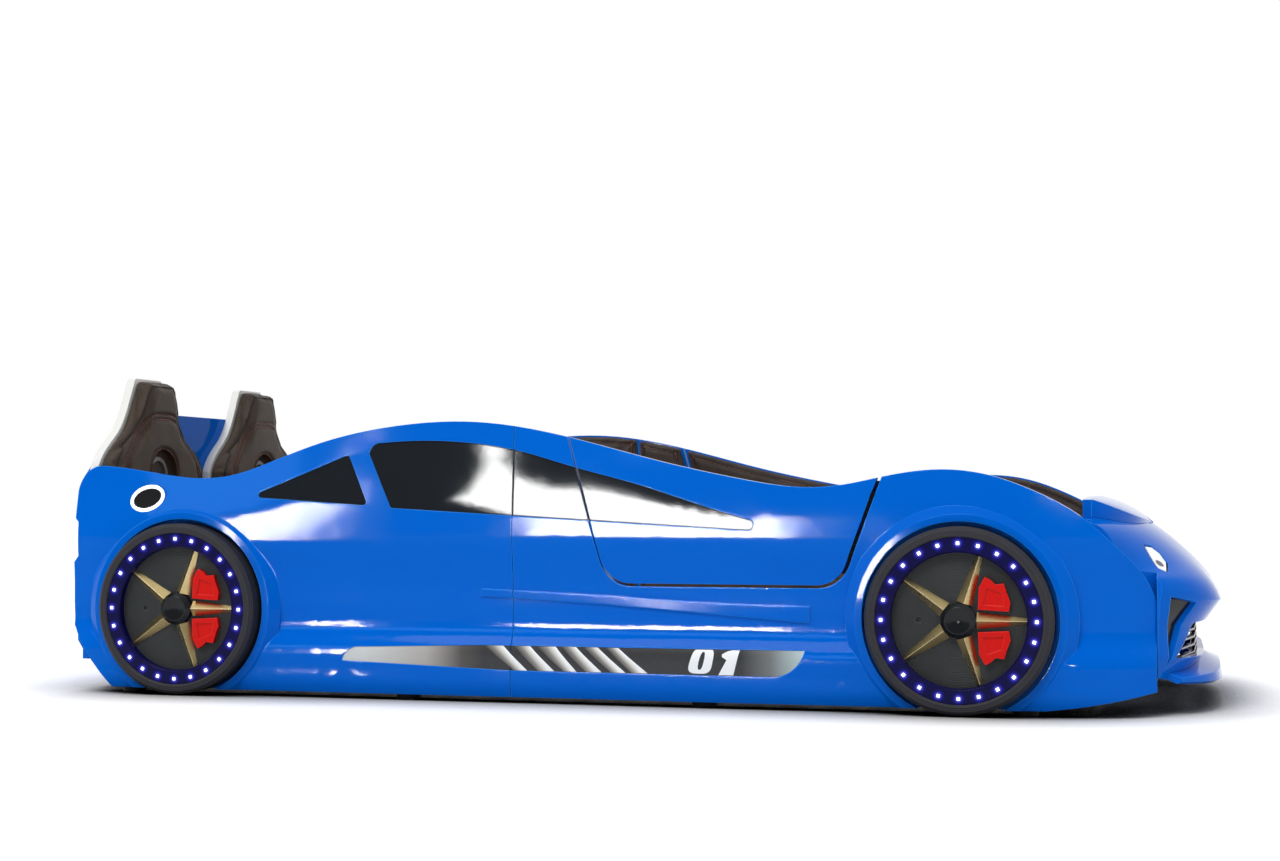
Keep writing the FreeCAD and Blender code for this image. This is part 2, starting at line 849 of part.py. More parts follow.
def nose_plan(inset):
    """Top view of the nose: inside the side panels, then wrapping in front of them."""
    gap = joint_gap + inset
    back = nose_back - (40 if inset else 0)
    xs = [nose_back + (side_front - nose_back) * i / 4 for i in range(5)]
    side = [(x, -(panel_inner - end_taper(x) - gap)) for x in xs]
    outer = skin_plane - end_taper(side_front) - 3 - inset
    steps = [
        *([("line", side[0])] if inset else []),
        ("curve", side[1:]),
        ("line", (side_front + joint_gap, side[-1][1])),
        ("line", (side_front + joint_gap, -outer)),
        ("line", (nose_x + 50, -outer)),
        ("line", (nose_x + 50, 0)),
        ("line", (back, 0)),
    ]
    wire = outline((back, side[0][1]), steps, plan_point)
    wire.translate(V(0, 0, -80))
    half = slab(wire, V(0, 0, 700))
    return half.fuse(mirrored(half)).removeSplitter()


intake_corners = [(-422, 224), (-360, 211), (-414, 90)]
grille_corners = [(-330, 171), (-398, 107)]
headlight_corners = [(-149, -362), (-135, -338), (-118, -332), (-103, -348), (-103, -390), (-121, -392), (-135, -380)]
headlight_rim = 5.0
hood_edge = [(0, -18), (40, -2), (230, -22), (342, -57), (394, -93)]


def intake_prism(x0, x1):
    """The right-hand side intake: a triangle on its point, seen from the front."""
    wire = Part.makePolygon([end_point(p, x0) for p in intake_corners + intake_corners[:1]])
    return slab(wire, V(x1 - x0, 0, 0))


def grille_opening():
    """The middle intake, seen from the front: narrow under the nose edge, wide at its foot."""
    foot = grille_corners[1][1] - 7
    points = [(0, foot)] + grille_corners[::-1] + [(-y, z) for y, z in grille_corners]
    wire = Part.makePolygon([end_point(p, nose_x - 150) for p in points + points[:1]])
    return slab(wire, V(220, 0, 0))


def headlight_prism(grow):
    """The right headlight seen from above: a slanted almond."""
    count = len(headlight_corners)
    middle = V(
        nose_x + sum(x for x, _ in headlight_corners) / count, sum(y for _, y in headlight_corners) / count, 0
    )
    points = []
    for x, y in headlight_corners:
        away = V(nose_x + x, y, 0) - middle
        away.multiply(1 + grow / away.Length)
        points.append(middle + away)
    return slab(Part.makePolygon(points + points[:1]), V(0, 0, 600))


def band(sections, smooth=True):
    """A loft across the nose through closed wires."""
    return Part.makeLoft(sections, True, not smooth)


nose_stations = [-nose_corner, -345, -200, 0, 200, 345, nose_corner]


def grille(cavity):
    """Level bars behind the middle intake, on a middle upright, as wide as the nose's inside."""
    top = grille_corners[0][1] + 6
    foot = grille_corners[1][1] - 26
    wires = []
    for y in nose_stations:
        face = nose_front(y) - fading(nose_undercut, corner_undercut, y) - nose_wall - seat_fit
        points = [(face, foot), (face, top), (face - grille_thickness, top), (face - grille_thickness, foot)]
        wires.append(Part.makePolygon([side_point(p, y) for p in points + points[:1]]))
    plate = band(wires, smooth=False).common(cavity)
    pitch = (top - foot - 20) / grille_bars
    for i in range(grille_bars):
        low = foot + 10 + pitch * i + grille_bar_height / 2
        for side in (-1, 1):
            y0, y1 = sorted((side * 6.0, side * 402.0))
            plate = plate.cut(box(nose_x - 200, nose_x, y0, y1, low, low + pitch - grille_bar_height))
    return plate


def splitter():
    """The lip under the intakes: a rising blade that ends in a blunt upturned edge."""
    wires = []
    for y in [-398, -345, -200, 0, 200, 345, 398]:
        front = nose_front(y)
        thin = (abs(y) / nose_corner) ** 2
        setback = fading(nose_foot_setback, corner_foot_setback, y)
        foot = fading(nose_foot, corner_foot, y)
        rise = nose_edge_height + nose_edge_rise * thin - 50 - grille_height - foot
        slope = (setback - fading(nose_undercut, corner_undercut, y)) / rise
        low, high = 3, 46 - 37 * thin
        points = [
            (front - setback + low * slope - nose_wall / 2, foot + low),
            (front - 14, nose_foot - 8 + 18 * thin),
            (front - 1, nose_foot + 14 * thin),
            (front - 5, nose_foot + 22 - 3 * thin),
            (front - setback + high * slope - nose_wall / 2, foot + high),
        ]
        wires.append(Part.makePolygon([side_point(p, y) for p in points + points[:1]]))
    return band(wires)


def hood(nose):
    """The raised bonnet panel, flatter than the nose, its front edge swept and notched."""
    lifted = nose_body(0.0, hood_camber)
    lifted.translate(V(0, 0, hood_rear_step + seat_fit))
    tip = math.degrees(math.atan((hood_rear_step - hood_front_step) / hood_length))
    lifted.rotate(V(nose_back, 0, nose_rear_height), V(0, 1, 0), tip)
    floor = nose.copy()
    floor.translate(V(0, 0, seat_fit))
    notch, *sweep = [(nose_back + hood_length + x, y) for y, x in hood_edge]
    half_width = hood_edge[-1][0] + 10
    steps = [
        ("curve", [(x, -y) for x, y in reversed(sweep)]),
        ("line", notch),
        ("line", sweep[0]),
        ("curve", sweep[1:] + [(nose_back, half_width)]),
    ]
    plan = slab(outline((nose_back, -half_width), steps, plan_point), V(0, 0, 600))
    panel = lifted.common(plan).cut(floor)
    return max(panel.Solids, key=lambda s: s.Volume)


def nose_pieces():
    shell = nose_body(0.0).common(nose_plan(0.0))
    cavity = nose_body(nose_wall).common(nose_plan(nose_wall))
    intake = intake_prism(side_front + 4, nose_x + 60)
    hollow = shell.cut(cavity)
    liner = intake.common(nose_body(intake_recess)).common(nose_plan(intake_recess)).cut(cavity)
    hollow = hollow.cut(intake).cut(mirrored(intake)).cut(grille_opening())
    floor = shell.copy()
    floor.translate(V(0, 0, -headlight_depth))
    pocket = headlight_prism(0).common(shell).cut(floor)
    hollow = hollow.cut(pocket).cut(mirrored(pocket))
    rim = shell.copy()
    rim.translate(V(0, 0, -headlight_recess))
    seat = shell.copy()
    seat.translate(V(seat_fit, 0, 0))
    made = {
        "nose_shell": max(hollow.Solids, key=lambda s: s.Volume),
        "headlight_lens": max(pocket.common(headlight_prism(-headlight_rim)).Solids, key=lambda s: s.Volume),
        "headlight_bezel": pocket.cut(headlight_prism(-headlight_rim)).common(rim).Solids[0],
        "intake_liner": liner,
        "hood": hood(shell),
        "grille": grille(cavity),
        "splitter": max(splitter().cut(seat).Solids, key=lambda s: s.Volume),
    }
    return made


# ---- headboard, tail and foot boards -----------------------------------------------------
board_half = panel_inner - joint_gap
board_foot = floor_gap + 54


def end_board(points_right, x, thickness):
    """A board across the bed from the right half of its outline, foot first."""
    right = [end_point(p, x) for p in points_right]
    left = [V(p.x, -p.y, p.z) for p in reversed(right)]
    wire = Part.makePolygon(right + left + right[:1])
    return slab(wire, V(thickness, 0, 0))


def headboard():
    half = [
        (-board_half, board_foot), (-board_half, tail_height - 22), (-430, tail_height + 10),
        (-372, headboard_height - 62), (-318, headboard_height - 20), (-286, headboard_height),
    ]
    return end_board(half, headboard_back, headboard_thickness)


def tail_panel():
    half = [
        (-board_half + 40, board_foot), (-board_half, board_foot + 40), (-board_half, tail_height - 60),
        (-board_half + 30, tail_height - 30),
    ]
    return end_board(half, tail_x, tail_panel_thickness)


def foot_board():
    top = nose_rear_height + hood_rear_step
    reach = board_half - end_taper(nose_back) - joint_gap
    corner = hood_edge[-1][0] + 10
    low_top = nose_rear_height - nose_camber
    half = [(-reach, 2 * floor_gap), (-reach, low_top - 6), (-corner - 2, low_top)]
    for i in range(5):
        y = corner * (1 - i / 4)
        half.append((-y, top - hood_camber * (y / nose_corner) ** 2))
    return end_board(half, foot_board_face, foot_board_thickness)


# ---- seats -------------------------------------------------------------------------------
seat_middle = board_half - seat_width / 2


def seat_outline(inset, x):
    """A racing-seat back from the front: upright hips, swept shoulders, narrow head."""
    w = seat_width / 2 - inset
    top = seat_top_height - inset
    hip = seat_top_height - 202
    low = seat_bottom_height + inset
    right = [(w - 20, hip + 30), (w - 55, hip + 60), (w - 89, hip + 87), (w - 112, hip + 117),
             (w - 136, hip + 162), (w - 152, top - 9)]
    left = [(-y, z) for y, z in reversed(right)]
    steps = [
        ("line", (w - 14, low)),
        ("arc", (w - 4, low + 4), (w, low + 14)),
        ("line", (w, hip)),
        ("curve", right),
        ("arc", (w - 157, top - 2), (w - 166, top)),
        ("line", (-(w - 166), top)),
        ("arc", (-(w - 157), top - 2), left[0]),
        ("curve", left[1:] + [(-w, hip)]),
        ("line", (-w, low + 14)),
        ("arc", (-(w - 4), low + 4), (-(w - 14), low)),
    ]
    wire = outline((-(w - 14), low), steps, lambda p: end_point(p, x))
    wire.translate(V(0, -seat_middle, 0))
    return wire


def arch_outline(half_width, top, low, x):
    """A round-headed arch on the middle of the seat."""
    crown = top - half_width
    steps = [
        ("line", (half_width, low)),
        ("line", (half_width, crown)),
        ("arc", (0, top), (-half_width, crown)),
    ]
    wire = outline((-half_width, low), steps, lambda p: end_point(p, x))
    wire.translate(V(0, -seat_middle, 0))
    return wire


def seat_pieces():
    """White back shell, crowned leather pad with an arched channel, speaker ring and cone."""
    back = headboard_front
    shell = slab(seat_outline(0, back), V(seat_shell_thickness, 0, 0))
    base = back + seat_shell_thickness
    depths = [(0, 3.0), (seat_pad_thickness - 14, 1.5), (seat_pad_thickness - 4, 8.0), (seat_pad_thickness, 19.0)]
    pad = Part.makeLoft([seat_outline(inset, base + depth) for depth, inset in depths], True, True)
    face = base + seat_pad_thickness
    channel_top = seat_top_height - 78
    channel = slab(arch_outline(78, channel_top, seat_bottom_height - 5, face - 3), V(20, 0, 0)).cut(
        slab(arch_outline(73, channel_top - 5, seat_bottom_height - 10, face - 5), V(30, 0, 0))
    )
    niche_low = speaker_height - speaker_radius - 8
    niche = slab(arch_outline(speaker_radius + 10, speaker_height + speaker_radius + 12, niche_low, face - niche_depth),
                 V(60, 0, 0))
    pad = pad.cut(channel).cut(niche)
    floor = face - niche_depth
    middle = V(floor, -seat_middle, speaker_height)
    outer = Part.makeCylinder(speaker_radius, 10, middle, V(1, 0, 0))
    inner = Part.makeCylinder(speaker_radius - 9, 10, middle, V(1, 0, 0))
    ring = outer.cut(inner)
    cone = Part.makeCone(speaker_radius - 9 - seat_fit, 14, 7, middle, V(1, 0, 0))
    return {"seat_shell": shell, "seat_pad": pad, "speaker_ring": ring, "speaker_cone": cone}


# ---- base --------------------------------------------------------------------------------
rail_inner = panel_inner - rail_thickness
bed_head = headboard_front
rail_top = floor_gap + rail_height


def bracket_bolt_places():
    """Where the bracket bolts go in, and the way each one points."""
    places = []
    for x, away in ((bed_head, 1), (foot_board_face, -1)):
        places.append((V(x + away * bolt_inset, -rail_inner, bracket_middle), V(0, -1, 0)))
        places.append((V(x, -rail_inner + bolt_inset, bracket_middle), V(-away, 0, 0)))
    return places


def bolt_holes(radius, depth):
    """Straight holes at every bracket bolt of the right side."""
    return [Part.makeCylinder(radius, depth + 6, place - into * 6, into) for place, into in bracket_bolt_places()]


def brackets():
    """Angle brackets between the rails and the end boards."""
    made = []
    low = bracket_middle - bracket_height / 2
    for x, away in ((bed_head, 1), (foot_board_face, -1)):
        x0, x1 = sorted((x, x + away * bracket_leg))
        along = box(x0, x1, -rail_inner, -rail_inner + bracket_thickness, low, low + bracket_height)
        x0, x1 = sorted((x, x + away * bracket_thickness))
        across = box(x0, x1, -rail_inner, -rail_inner + bracket_leg, low, low + bracket_height)
        made.append(cut_all(along.fuse(across), bolt_holes(bolt_radius + bolt_clearance, 20)))
    return Part.makeCompound(made)


def hexagon(radius, place, into, length):
    """A six-sided prism that starts at a place and runs a way."""
    points = [V(radius * math.cos(math.radians(60 * i)), radius * math.sin(math.radians(60 * i)), 0) for i in range(7)]
    prism = slab(Part.makePolygon(points), V(0, 0, length))
    prism.Placement = FreeCAD.Placement(place, FreeCAD.Rotation(V(0, 0, 1), into))
    return prism


def bolts():
    made = []
    for place, into in bracket_bolt_places():
        top = place - into * bracket_thickness
        shank = Part.makeCylinder(bolt_radius, bracket_thickness + bolt_bite, top, into)
        head = hexagon(bolt_radius * 2, top, into * -1, bolt_radius * 1.3)
        made.append(shank.fuse(head).removeSplitter())
    return Part.makeCompound(made)


def rail():
    beam = box(bed_head, foot_board_face, -panel_inner, -rail_inner, floor_gap, rail_top)
    beam = beam.common(inner_block()).common(side_prism(side_outline()))
    return cut_all(beam, bolt_holes(bolt_radius, bolt_bite))


def slats():
    first = bed_head + slat_end_gap
    last = foot_board_face - slat_end_gap - slat_width
    pitch = (last - first) / (slat_count - 1)
    half = panel_inner - joint_gap
    return Part.makeCompound([
        box(first + i * pitch, first + i * pitch + slat_width, -half, half, rail_top, slat_top_height)
        for i in range(slat_count)
    ])


def feet():
    run = foot_board_face - bed_head - 2 * foot_inset
    row = [bed_head + foot_inset + run * i / (foot_count - 1) for i in range(foot_count)]
    made = []
    for x in row:
        made.append(Part.makeCylinder(foot_radius, floor_gap, V(x, -rail_inner - rail_thickness / 2, 0)))
    return both(Part.makeCompound(made))


def beam_and_legs():
    beam = box(bed_head, foot_board_face, -beam_width / 2, beam_width / 2, rail_top - beam_height, rail_top)
    legs = []
    for i in range(leg_count):
        x = bed_head + (foot_board_face - bed_head) * (i + 1) / (leg_count + 1)
        legs.append(Part.makeCylinder(beam_width / 2, rail_top - beam_height, V(x, 0, 0)))
    return beam, Part.makeCompound(legs)


def inlet_barrel(radius, start, end):
    """A rod on the power inlet's line, from one distance along the bed to another."""
    return Part.makeCylinder(radius, end - start, V(start, control_box_side, control_box_height), V(1, 0, 0))


def control_box():
    """Lighting control box on the headboard's foot, and its inlet barrel through the tail."""
    y = control_box_side
    z = control_box_height
    case = box(bed_head, bed_head + 30, y - 55, y + 55, z - 20, z + 20)
    case = case.makeChamfer(3, [e for e in case.Edges if e.CenterOfMass.x > bed_head + 29])
    barrel = inlet_barrel(inlet_radius, tail_x + joint_gap, bed_head)
    socket = inlet_barrel(inlet_radius - inlet_wall, tail_x, bed_head - inlet_wall)
    return case.fuse(barrel.cut(socket)).removeSplitter()


def leds(axle):
    """Small square lamps standing on the light ring, evenly round it."""
    made = []
    radius = (ring_outer + ring_inner) / 2 + 3
    for i in range(led_count):
        lamp = box(radius - 3, radius + 3, -ring_face - 1.2, -ring_face, -3, 3)
        lamp.rotate(V(0, 0, 0), V(0, 1, 0), -360 / led_count * i)
        lamp.translate(V(axle, 0, wheel_height))
        made.append(lamp)
    return Part.makeCompound(made)


# ---- everything, written out -------------------------------------------------------------
def main():
    os.makedirs("parts", exist_ok=True)
    side = side_pieces()
    for name, shape in side.items():
        if name in ("sill_strip", "badge_dome", "badge_ring", "quarter_window"):
            save(name + "s", both(shape))
        else:
            save_pair(name, shape)
    for name, shape in zip(("inner_pad_rear", "inner_pad_front", "door_pad"), inner_pads()):
        save_pair(name, shape)
    frames, doors, pins = zip(*[hinge_parts(z) for z in (hinge_low, hinge_high)])
    save("hinge_frame_leaves", both(Part.makeCompound(frames)))
    save_pair("hinge_door_leaves", Part.makeCompound(doors))
    save("hinge_pins", both(Part.makeCompound(pins)))
    save("door_seals", both(door_seal()))

    axles = (rear_axle, front_axle)
    save_pair("tyre_rear", tyre(rear_axle))
    save_pair("tyre_front", tyre(front_axle))
    save("light_rings", both(Part.makeCompound([light_ring(a) for a in axles])))
    save("wheel_discs", both(Part.makeCompound([wheel_disc(a) for a in axles])))
    save("spokes", both(Part.makeCompound([s for a in axles for s in spokes(a)])))
    save("hub_caps", both(Part.makeCompound([hub_cap(a) for a in axles])))
    save("calipers", both(Part.makeCompound([caliper(a, side) for a in axles for side in (1, -1)])))
    save("leds", both(Part.makeCompound([leds(a) for a in axles])))

    nose = nose_pieces()
    save("headlight_lenses", both(nose.pop("headlight_lens")))
    save("headlight_bezels", both(nose.pop("headlight_bezel")))
    save("intake_liners", both(nose.pop("intake_liner")))
    for name, shape in nose.items():
        save(name, shape)

    holes = bolt_holes(bolt_radius, bolt_bite)
    holes += [mirrored(h) for h in holes]
    inlet_hole = inlet_barrel(inlet_radius + wheel_fit, tail_x - 1, bed_head + 1)
    save("headboard", cut_all(headboard(), holes + [inlet_hole]))
    save("foot_board", cut_all(foot_board(), holes))
    save("tail_panel", tail_panel().cut(inlet_hole))
    seat = seat_pieces()
    save("seat_shells", both(seat["seat_shell"]))
    save_pair("seat_pad", seat["seat_pad"])
    save("speaker_rings", both(seat["speaker_ring"]))
    save("speaker_cones", both(seat["speaker_cone"]))
    save("bed_rails", both(rail()))
    save("slats", slats())
    beam, legs = beam_and_legs()
    save("centre_beam", beam)
    save("centre_legs", legs)
    save("feet", feet())
    save("corner_brackets", both(brackets()))
    save("bracket_bolts", both(bolts()))
    save("control_box", control_box())


if __name__ == "__main__":
    main()
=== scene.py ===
# %% [markdown]
# # A race-car bed for a child
# The bed comes as finished solids: two moulded side shells, a nose, four show wheels, two seat
# backs and a slatted base.  This lesson dresses them.  Hard pieces keep their own mesh and get a
# material made from what the real one is.  Stuffed pieces are inflated with cloth.  Piping, the
# stripe's bars and its number are small meshes laid on the surface that carries them.  Lengths
# are in metres unless a line says otherwise.

import bpy
import bmesh
import json
import math
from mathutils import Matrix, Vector, kdtree
from mathutils.bvhtree import BVHTree

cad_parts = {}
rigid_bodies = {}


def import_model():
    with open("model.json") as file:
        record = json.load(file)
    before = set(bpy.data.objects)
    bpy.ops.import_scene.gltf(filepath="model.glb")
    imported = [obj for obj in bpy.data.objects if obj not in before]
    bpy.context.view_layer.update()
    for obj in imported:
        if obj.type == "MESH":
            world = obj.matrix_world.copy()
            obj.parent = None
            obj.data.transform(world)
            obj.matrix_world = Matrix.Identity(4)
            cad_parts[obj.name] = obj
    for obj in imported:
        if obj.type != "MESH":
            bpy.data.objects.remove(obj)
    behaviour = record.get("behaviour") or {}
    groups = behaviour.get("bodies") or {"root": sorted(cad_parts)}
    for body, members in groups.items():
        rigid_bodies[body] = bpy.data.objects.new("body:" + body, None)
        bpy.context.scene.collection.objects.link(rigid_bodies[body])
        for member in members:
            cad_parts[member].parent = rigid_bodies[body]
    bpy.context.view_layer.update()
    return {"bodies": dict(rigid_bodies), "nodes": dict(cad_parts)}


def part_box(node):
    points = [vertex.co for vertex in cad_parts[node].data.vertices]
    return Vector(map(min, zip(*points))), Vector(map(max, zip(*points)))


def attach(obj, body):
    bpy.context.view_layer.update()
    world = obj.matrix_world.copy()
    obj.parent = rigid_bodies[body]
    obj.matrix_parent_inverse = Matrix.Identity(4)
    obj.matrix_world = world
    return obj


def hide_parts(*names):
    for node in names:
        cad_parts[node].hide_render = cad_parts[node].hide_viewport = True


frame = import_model()
nodes = frame["nodes"]
scene = bpy.context.scene

# %% [markdown]
# ## Small helpers
# Everything new enters the scene in the same two steps, so one function does both.


# %% Helpers for pieces
def placed(name, data):
    """A new object in the scene."""
    made = bpy.data.objects.new(name, data)
    scene.collection.objects.link(made)
    return made


def dress(piece, material):
    """Gives a piece one material and no other."""
    piece.data.materials.clear()
    piece.data.materials.append(material)


def between(a, b, share):
    """The value a share of the way from a to b."""
    return a + (b - a) * share


# %% [markdown]
# ## The camera
# The photograph was matched by its two near wheels, which are equal circles in one plane.  That
# gives a lens of 57 mm on a 36 mm sensor, at the height of the door's top edge, turned 15
# degrees toward the tail and tipped up by 2.

# %% Camera
sensor_width = 36
photo_width = 1280  # pixels
focal_length = 2029.3  # pixels
tipped_up = 1.916  # degrees
turned_to_tail = 15.204  # degrees
camera = placed("camera", bpy.data.cameras.new("camera"))
scene.camera = camera
camera.data.sensor_width = sensor_width
camera.data.lens = sensor_width * focal_length / photo_width
camera.data.clip_end = 200
camera.location = (1.1189, -4.3444, 0.407)
camera.rotation_euler = (math.radians(90 + tipped_up), 0, math.radians(turned_to_tail))
print("lens:", round(camera.data.lens, 1), "mm")

# %% [markdown]
# ## Helpers for materials
# Paint makers give colours as sRGB hex, and Blender's sockets take linear light, so one function
# turns one into the other.  A second one adds a node with its settings and links, so that a
# material reads as a list of steps.  The others start a material, feed its shader at the end, and
# find the edges of a piece, where paint and plating wear and where a lighter colour is laid on as
# a painted highlight.


# %% Colour and node helpers
def linear(colour):
    """sRGB hex to the linear red, green, blue and alpha of a colour socket."""
    parts = [int(colour[i:i + 2], 16) / 255 for i in (1, 3, 5)]
    light = [c / 12.92 if c <= 0.04045 else ((c + 0.055) / 1.055) ** 2.4 for c in parts]
    return (*light, 1.0)


def add(tree, kind, inputs=None, stops=None, **settings):
    """Adds a node.  An input is a value, a hex colour, or what feeds it: a socket or a node."""
    node = tree.nodes.new("ShaderNode" + kind)
    for name, value in settings.items():
        setattr(node, name, value)
    for name, value in (inputs or {}).items():
        if isinstance(value, bpy.types.Node):
            value = value.outputs[0]
        if isinstance(value, bpy.types.NodeSocket):
            tree.links.new(value, node.inputs[name])
        elif isinstance(value, str):
            node.inputs[name].default_value = linear(value)
        else:
            node.inputs[name].default_value = value
    if stops:
        steps = node.color_ramp.elements
        steps.remove(steps[1])
        steps[0].position, steps[0].color = stops[0][0], linear(stops[0][1])
        for place, colour in stops[1:]:
            steps.new(place).color = linear(colour)
    return node


def new_material(name, colour, roughness, **sockets):
    """A material with one Principled shader, whose steady values are set on its own sockets."""
    made = bpy.data.materials.new(name)
    made.use_nodes = True
    tree = made.node_tree
    body = tree.nodes["Principled BSDF"]
    body.inputs["Base Color"].default_value = linear(colour)
    body.inputs["Roughness"].default_value = roughness
    for socket, value in sockets.items():
        body.inputs[socket.replace("_", " ")].default_value = value
    place = add(tree, "TexCoord").outputs["Object"]
    return made, tree, body, place


edge_samples = 6
flat_cosine = 0.995
edge_cosine = 0.8


def finish_surface(tree, body, colour, rough=None, height=None, depth=0.0, edge=0.0):
    """Feeds a shader: a colour, a pattern that swings its roughness, a height and soft edges."""
    tree.links.new(colour.outputs[0], body.inputs["Base Color"])
    if rough:
        pattern, low, high = rough
        swing = add(tree, "MapRange", {"Value": pattern, "To Min": low, "To Max": high})
        tree.links.new(swing.outputs[0], body.inputs["Roughness"])
    normal = add(tree, "Bevel", {"Radius": edge}, samples=edge_samples) if edge else None
    if height:
        inputs = {"Height": height, "Distance": depth}
        if normal:
            inputs["Normal"] = normal
        normal = add(tree, "Bump", inputs)
    if normal:
        tree.links.new(normal.outputs[0], body.inputs["Normal"])


def edge_mask(tree, radius):
    """0 on open surfaces, toward 1 at edges, where the softened normal leaves the true one."""
    soft = add(tree, "Bevel", {"Radius": radius}, samples=edge_samples)
    true = add(tree, "NewGeometry").outputs["Normal"]
    facing = add(tree, "VectorMath", {0: soft, 1: true}, operation="DOT_PRODUCT").outputs["Value"]
    limits = {"Value": facing, "From Min": flat_cosine, "From Max": edge_cosine}
    return add(tree, "MapRange", limits)


# %% [markdown]
# ## Shell plastic
# The shells are ABS sheet, vacuum formed over a mould, with a gloss acrylic cap.  That gives the
# eye a deep even blue under a thin clear shine.  Forming leaves a faint ripple, about 30 mm
# long, and the cap has a fine orange peel, drawn here at 3 mm because the real 1 mm would not
# show.  Hands and packing dull the gloss in soft patches.  Edges are painted lighter, partly for
# wear where the sheet was stretched thin, and partly as a painted highlight along them.


# %% Gloss shell plastics
patch_size = 0.45
scuff_size = 0.12
ripple_size = 0.03
peel_size = 0.003
peel_depth = 0.00002
shell_edge = 0.003


def shell_plastic(name, colour, dull, worn, gloss, shine):
    """Gloss sheet: tint patches, edges lighter by wear and painted highlight, peel, scuffed
    roughness.
    """
    made, tree, body, place = new_material(name, colour, gloss, IOR=1.5, Specular_IOR_Level=shine)
    patches = add(tree, "TexNoise", {"Vector": place, "Scale": 1 / patch_size})
    tint = add(tree, "MixRGB", {"Fac": patches, "Color1": colour, "Color2": dull})
    # Edges take the worn colour: wear, and a painted highlight along them.
    edges = edge_mask(tree, shell_edge)
    rubbed_and_highlit = add(tree, "MixRGB", {"Fac": edges, "Color1": tint, "Color2": worn})
    scuffs = add(tree, "TexNoise", {"Vector": place, "Scale": 1 / scuff_size, "Detail": 6.0})
    ripple = add(tree, "TexNoise", {"Vector": place, "Scale": 1 / ripple_size, "Detail": 1.0})
    peel = add(tree, "TexNoise", {"Vector": place, "Scale": 1 / peel_size, "Detail": 1.0})
    height = add(tree, "Math", {0: peel, 1: ripple}, operation="ADD")
    rough = (scuffs, gloss * 0.7, gloss * 1.6)
    finish_surface(tree, body, rubbed_and_highlit, rough, height, peel_depth, shell_edge)
    return made


blue_abs = shell_plastic("blue_gloss_abs", "#0064cf", "#005dc6", "#2b93fa", 0.05, 0.05)
white_abs = shell_plastic("white_gloss_abs", "#e9e9e6", "#e2e2de", "#f7f7f5", 0.16, 0.4)
black_abs = shell_plastic("black_gloss_abs", "#1b1c1f", "#161719", "#3a3c41", 0.14, 0.25)
window_acrylic = shell_plastic(
    "smoked_acrylic_sheet", "#202429", "#1b1e22", "#4a5057", 0.03, 0.12
)
red_abs = shell_plastic("red_moulded_abs", "#d8120c", "#c20c08", "#ee342e", 0.34, 0.15)
print("gloss plastics:", blue_abs.name, white_abs.name, black_abs.name)

# %% [markdown]
# ## Which way is round the wheel
# The tyre's rings, the disc's grooves and the lamps' glow need the distance from the axle.  Both
# axles are at one height, so folding the length axis about the point midway between them puts
# every wheel on the same spot, and one material serves all four.

# %% Distances round a wheel
low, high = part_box("tyre_rear_right")
rear_axle = (low.x + high.x) / 2
low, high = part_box("tyre_front_right")
front_axle = (low.x + high.x) / 2
axle_height = (low.z + high.z) / 2
wheel_middle = (rear_axle + front_axle) / 2
wheel_reach = (front_axle - rear_axle) / 2
print("axles:", round(rear_axle, 3), round(front_axle, 3), "height:", round(axle_height, 3))


def from_axle(tree, place):
    """Distance from the nearest axle in metres, and the angle about it in turns."""
    split = add(tree, "SeparateXYZ", {0: place})
    moved = add(tree, "Math", {0: split.outputs["X"], 1: wheel_middle}, operation="SUBTRACT")
    folded = add(tree, "Math", {0: moved}, operation="ABSOLUTE")
    along = add(tree, "Math", {0: folded, 1: wheel_reach}, operation="SUBTRACT")
    up = add(tree, "Math", {0: split.outputs["Z"], 1: axle_height}, operation="SUBTRACT")
    flat = add(tree, "CombineXYZ", {"X": along, "Y": up})
    radius = add(tree, "VectorMath", {0: flat}, operation="LENGTH").outputs["Value"]
    angle = add(tree, "Math", {0: up, 1: along}, operation="ARCTAN2")
    turns = add(tree, "Math", {0: angle, 1: 1 / math.tau}, operation="MULTIPLY")
    return radius, turns


# %% [markdown]
# ## Tyre and disc
# The tyre is blow-moulded polyethylene in charcoal: matt, with fine moulded rings on its wall
# every 4 mm.  The disc is injection-moulded polypropylene with turned grooves 3 mm apart, like a
# brake disc's.


# %% Ringed plastics
ring_depth = 0.0002


def ringed_plastic(name, colour, dull, worn, rough, pitch):
    """Matt moulded plastic with fine rings about the axle."""
    made, tree, body, place = new_material(name, colour, rough, IOR=1.49, Specular_IOR_Level=0.25)
    radius, _ = from_axle(tree, place)
    phase = add(tree, "Math", {0: radius, 1: math.tau / pitch}, operation="MULTIPLY")
    rings = add(tree, "Math", {0: phase}, operation="SINE")
    grit = add(tree, "TexNoise", {"Vector": place, "Scale": 1 / 0.0025, "Detail": 2.0})
    height = add(tree, "Math", {0: rings, 1: grit}, operation="ADD")
    patches = add(tree, "TexNoise", {"Vector": place, "Scale": 1 / 0.05, "Detail": 4.0})
    tint = add(tree, "MixRGB", {"Fac": patches, "Color1": colour, "Color2": dull})
    # Lighter edges: wear, and a painted highlight along them.
    edges = edge_mask(tree, 0.003)
    rubbed_and_highlit = add(tree, "MixRGB", {"Fac": edges, "Color1": tint, "Color2": worn})
    swing = (patches, rough * 0.85, rough * 1.15)
    finish_surface(tree, body, rubbed_and_highlit, swing, height, ring_depth, edge=0.002)
    return made


tyre_plastic = ringed_plastic(
    "charcoal_polyethylene", "#333338", "#2a2a2f", "#4c4c52", 0.6, pitch=0.004
)
disc_plastic = ringed_plastic(
    "dark_grey_polypropylene", "#333637", "#2a2d2e", "#565859", 0.42, pitch=0.003
)
print("ringed plastics:", tyre_plastic.name, disc_plastic.name)

# %% [markdown]
# ## Light ring
# The light ring is navy acrylic with lamps behind it, so a blue glow hangs round each lamp and
# fades in 13 mm.  The nearest lamp is found by rounding the angle about the axle.

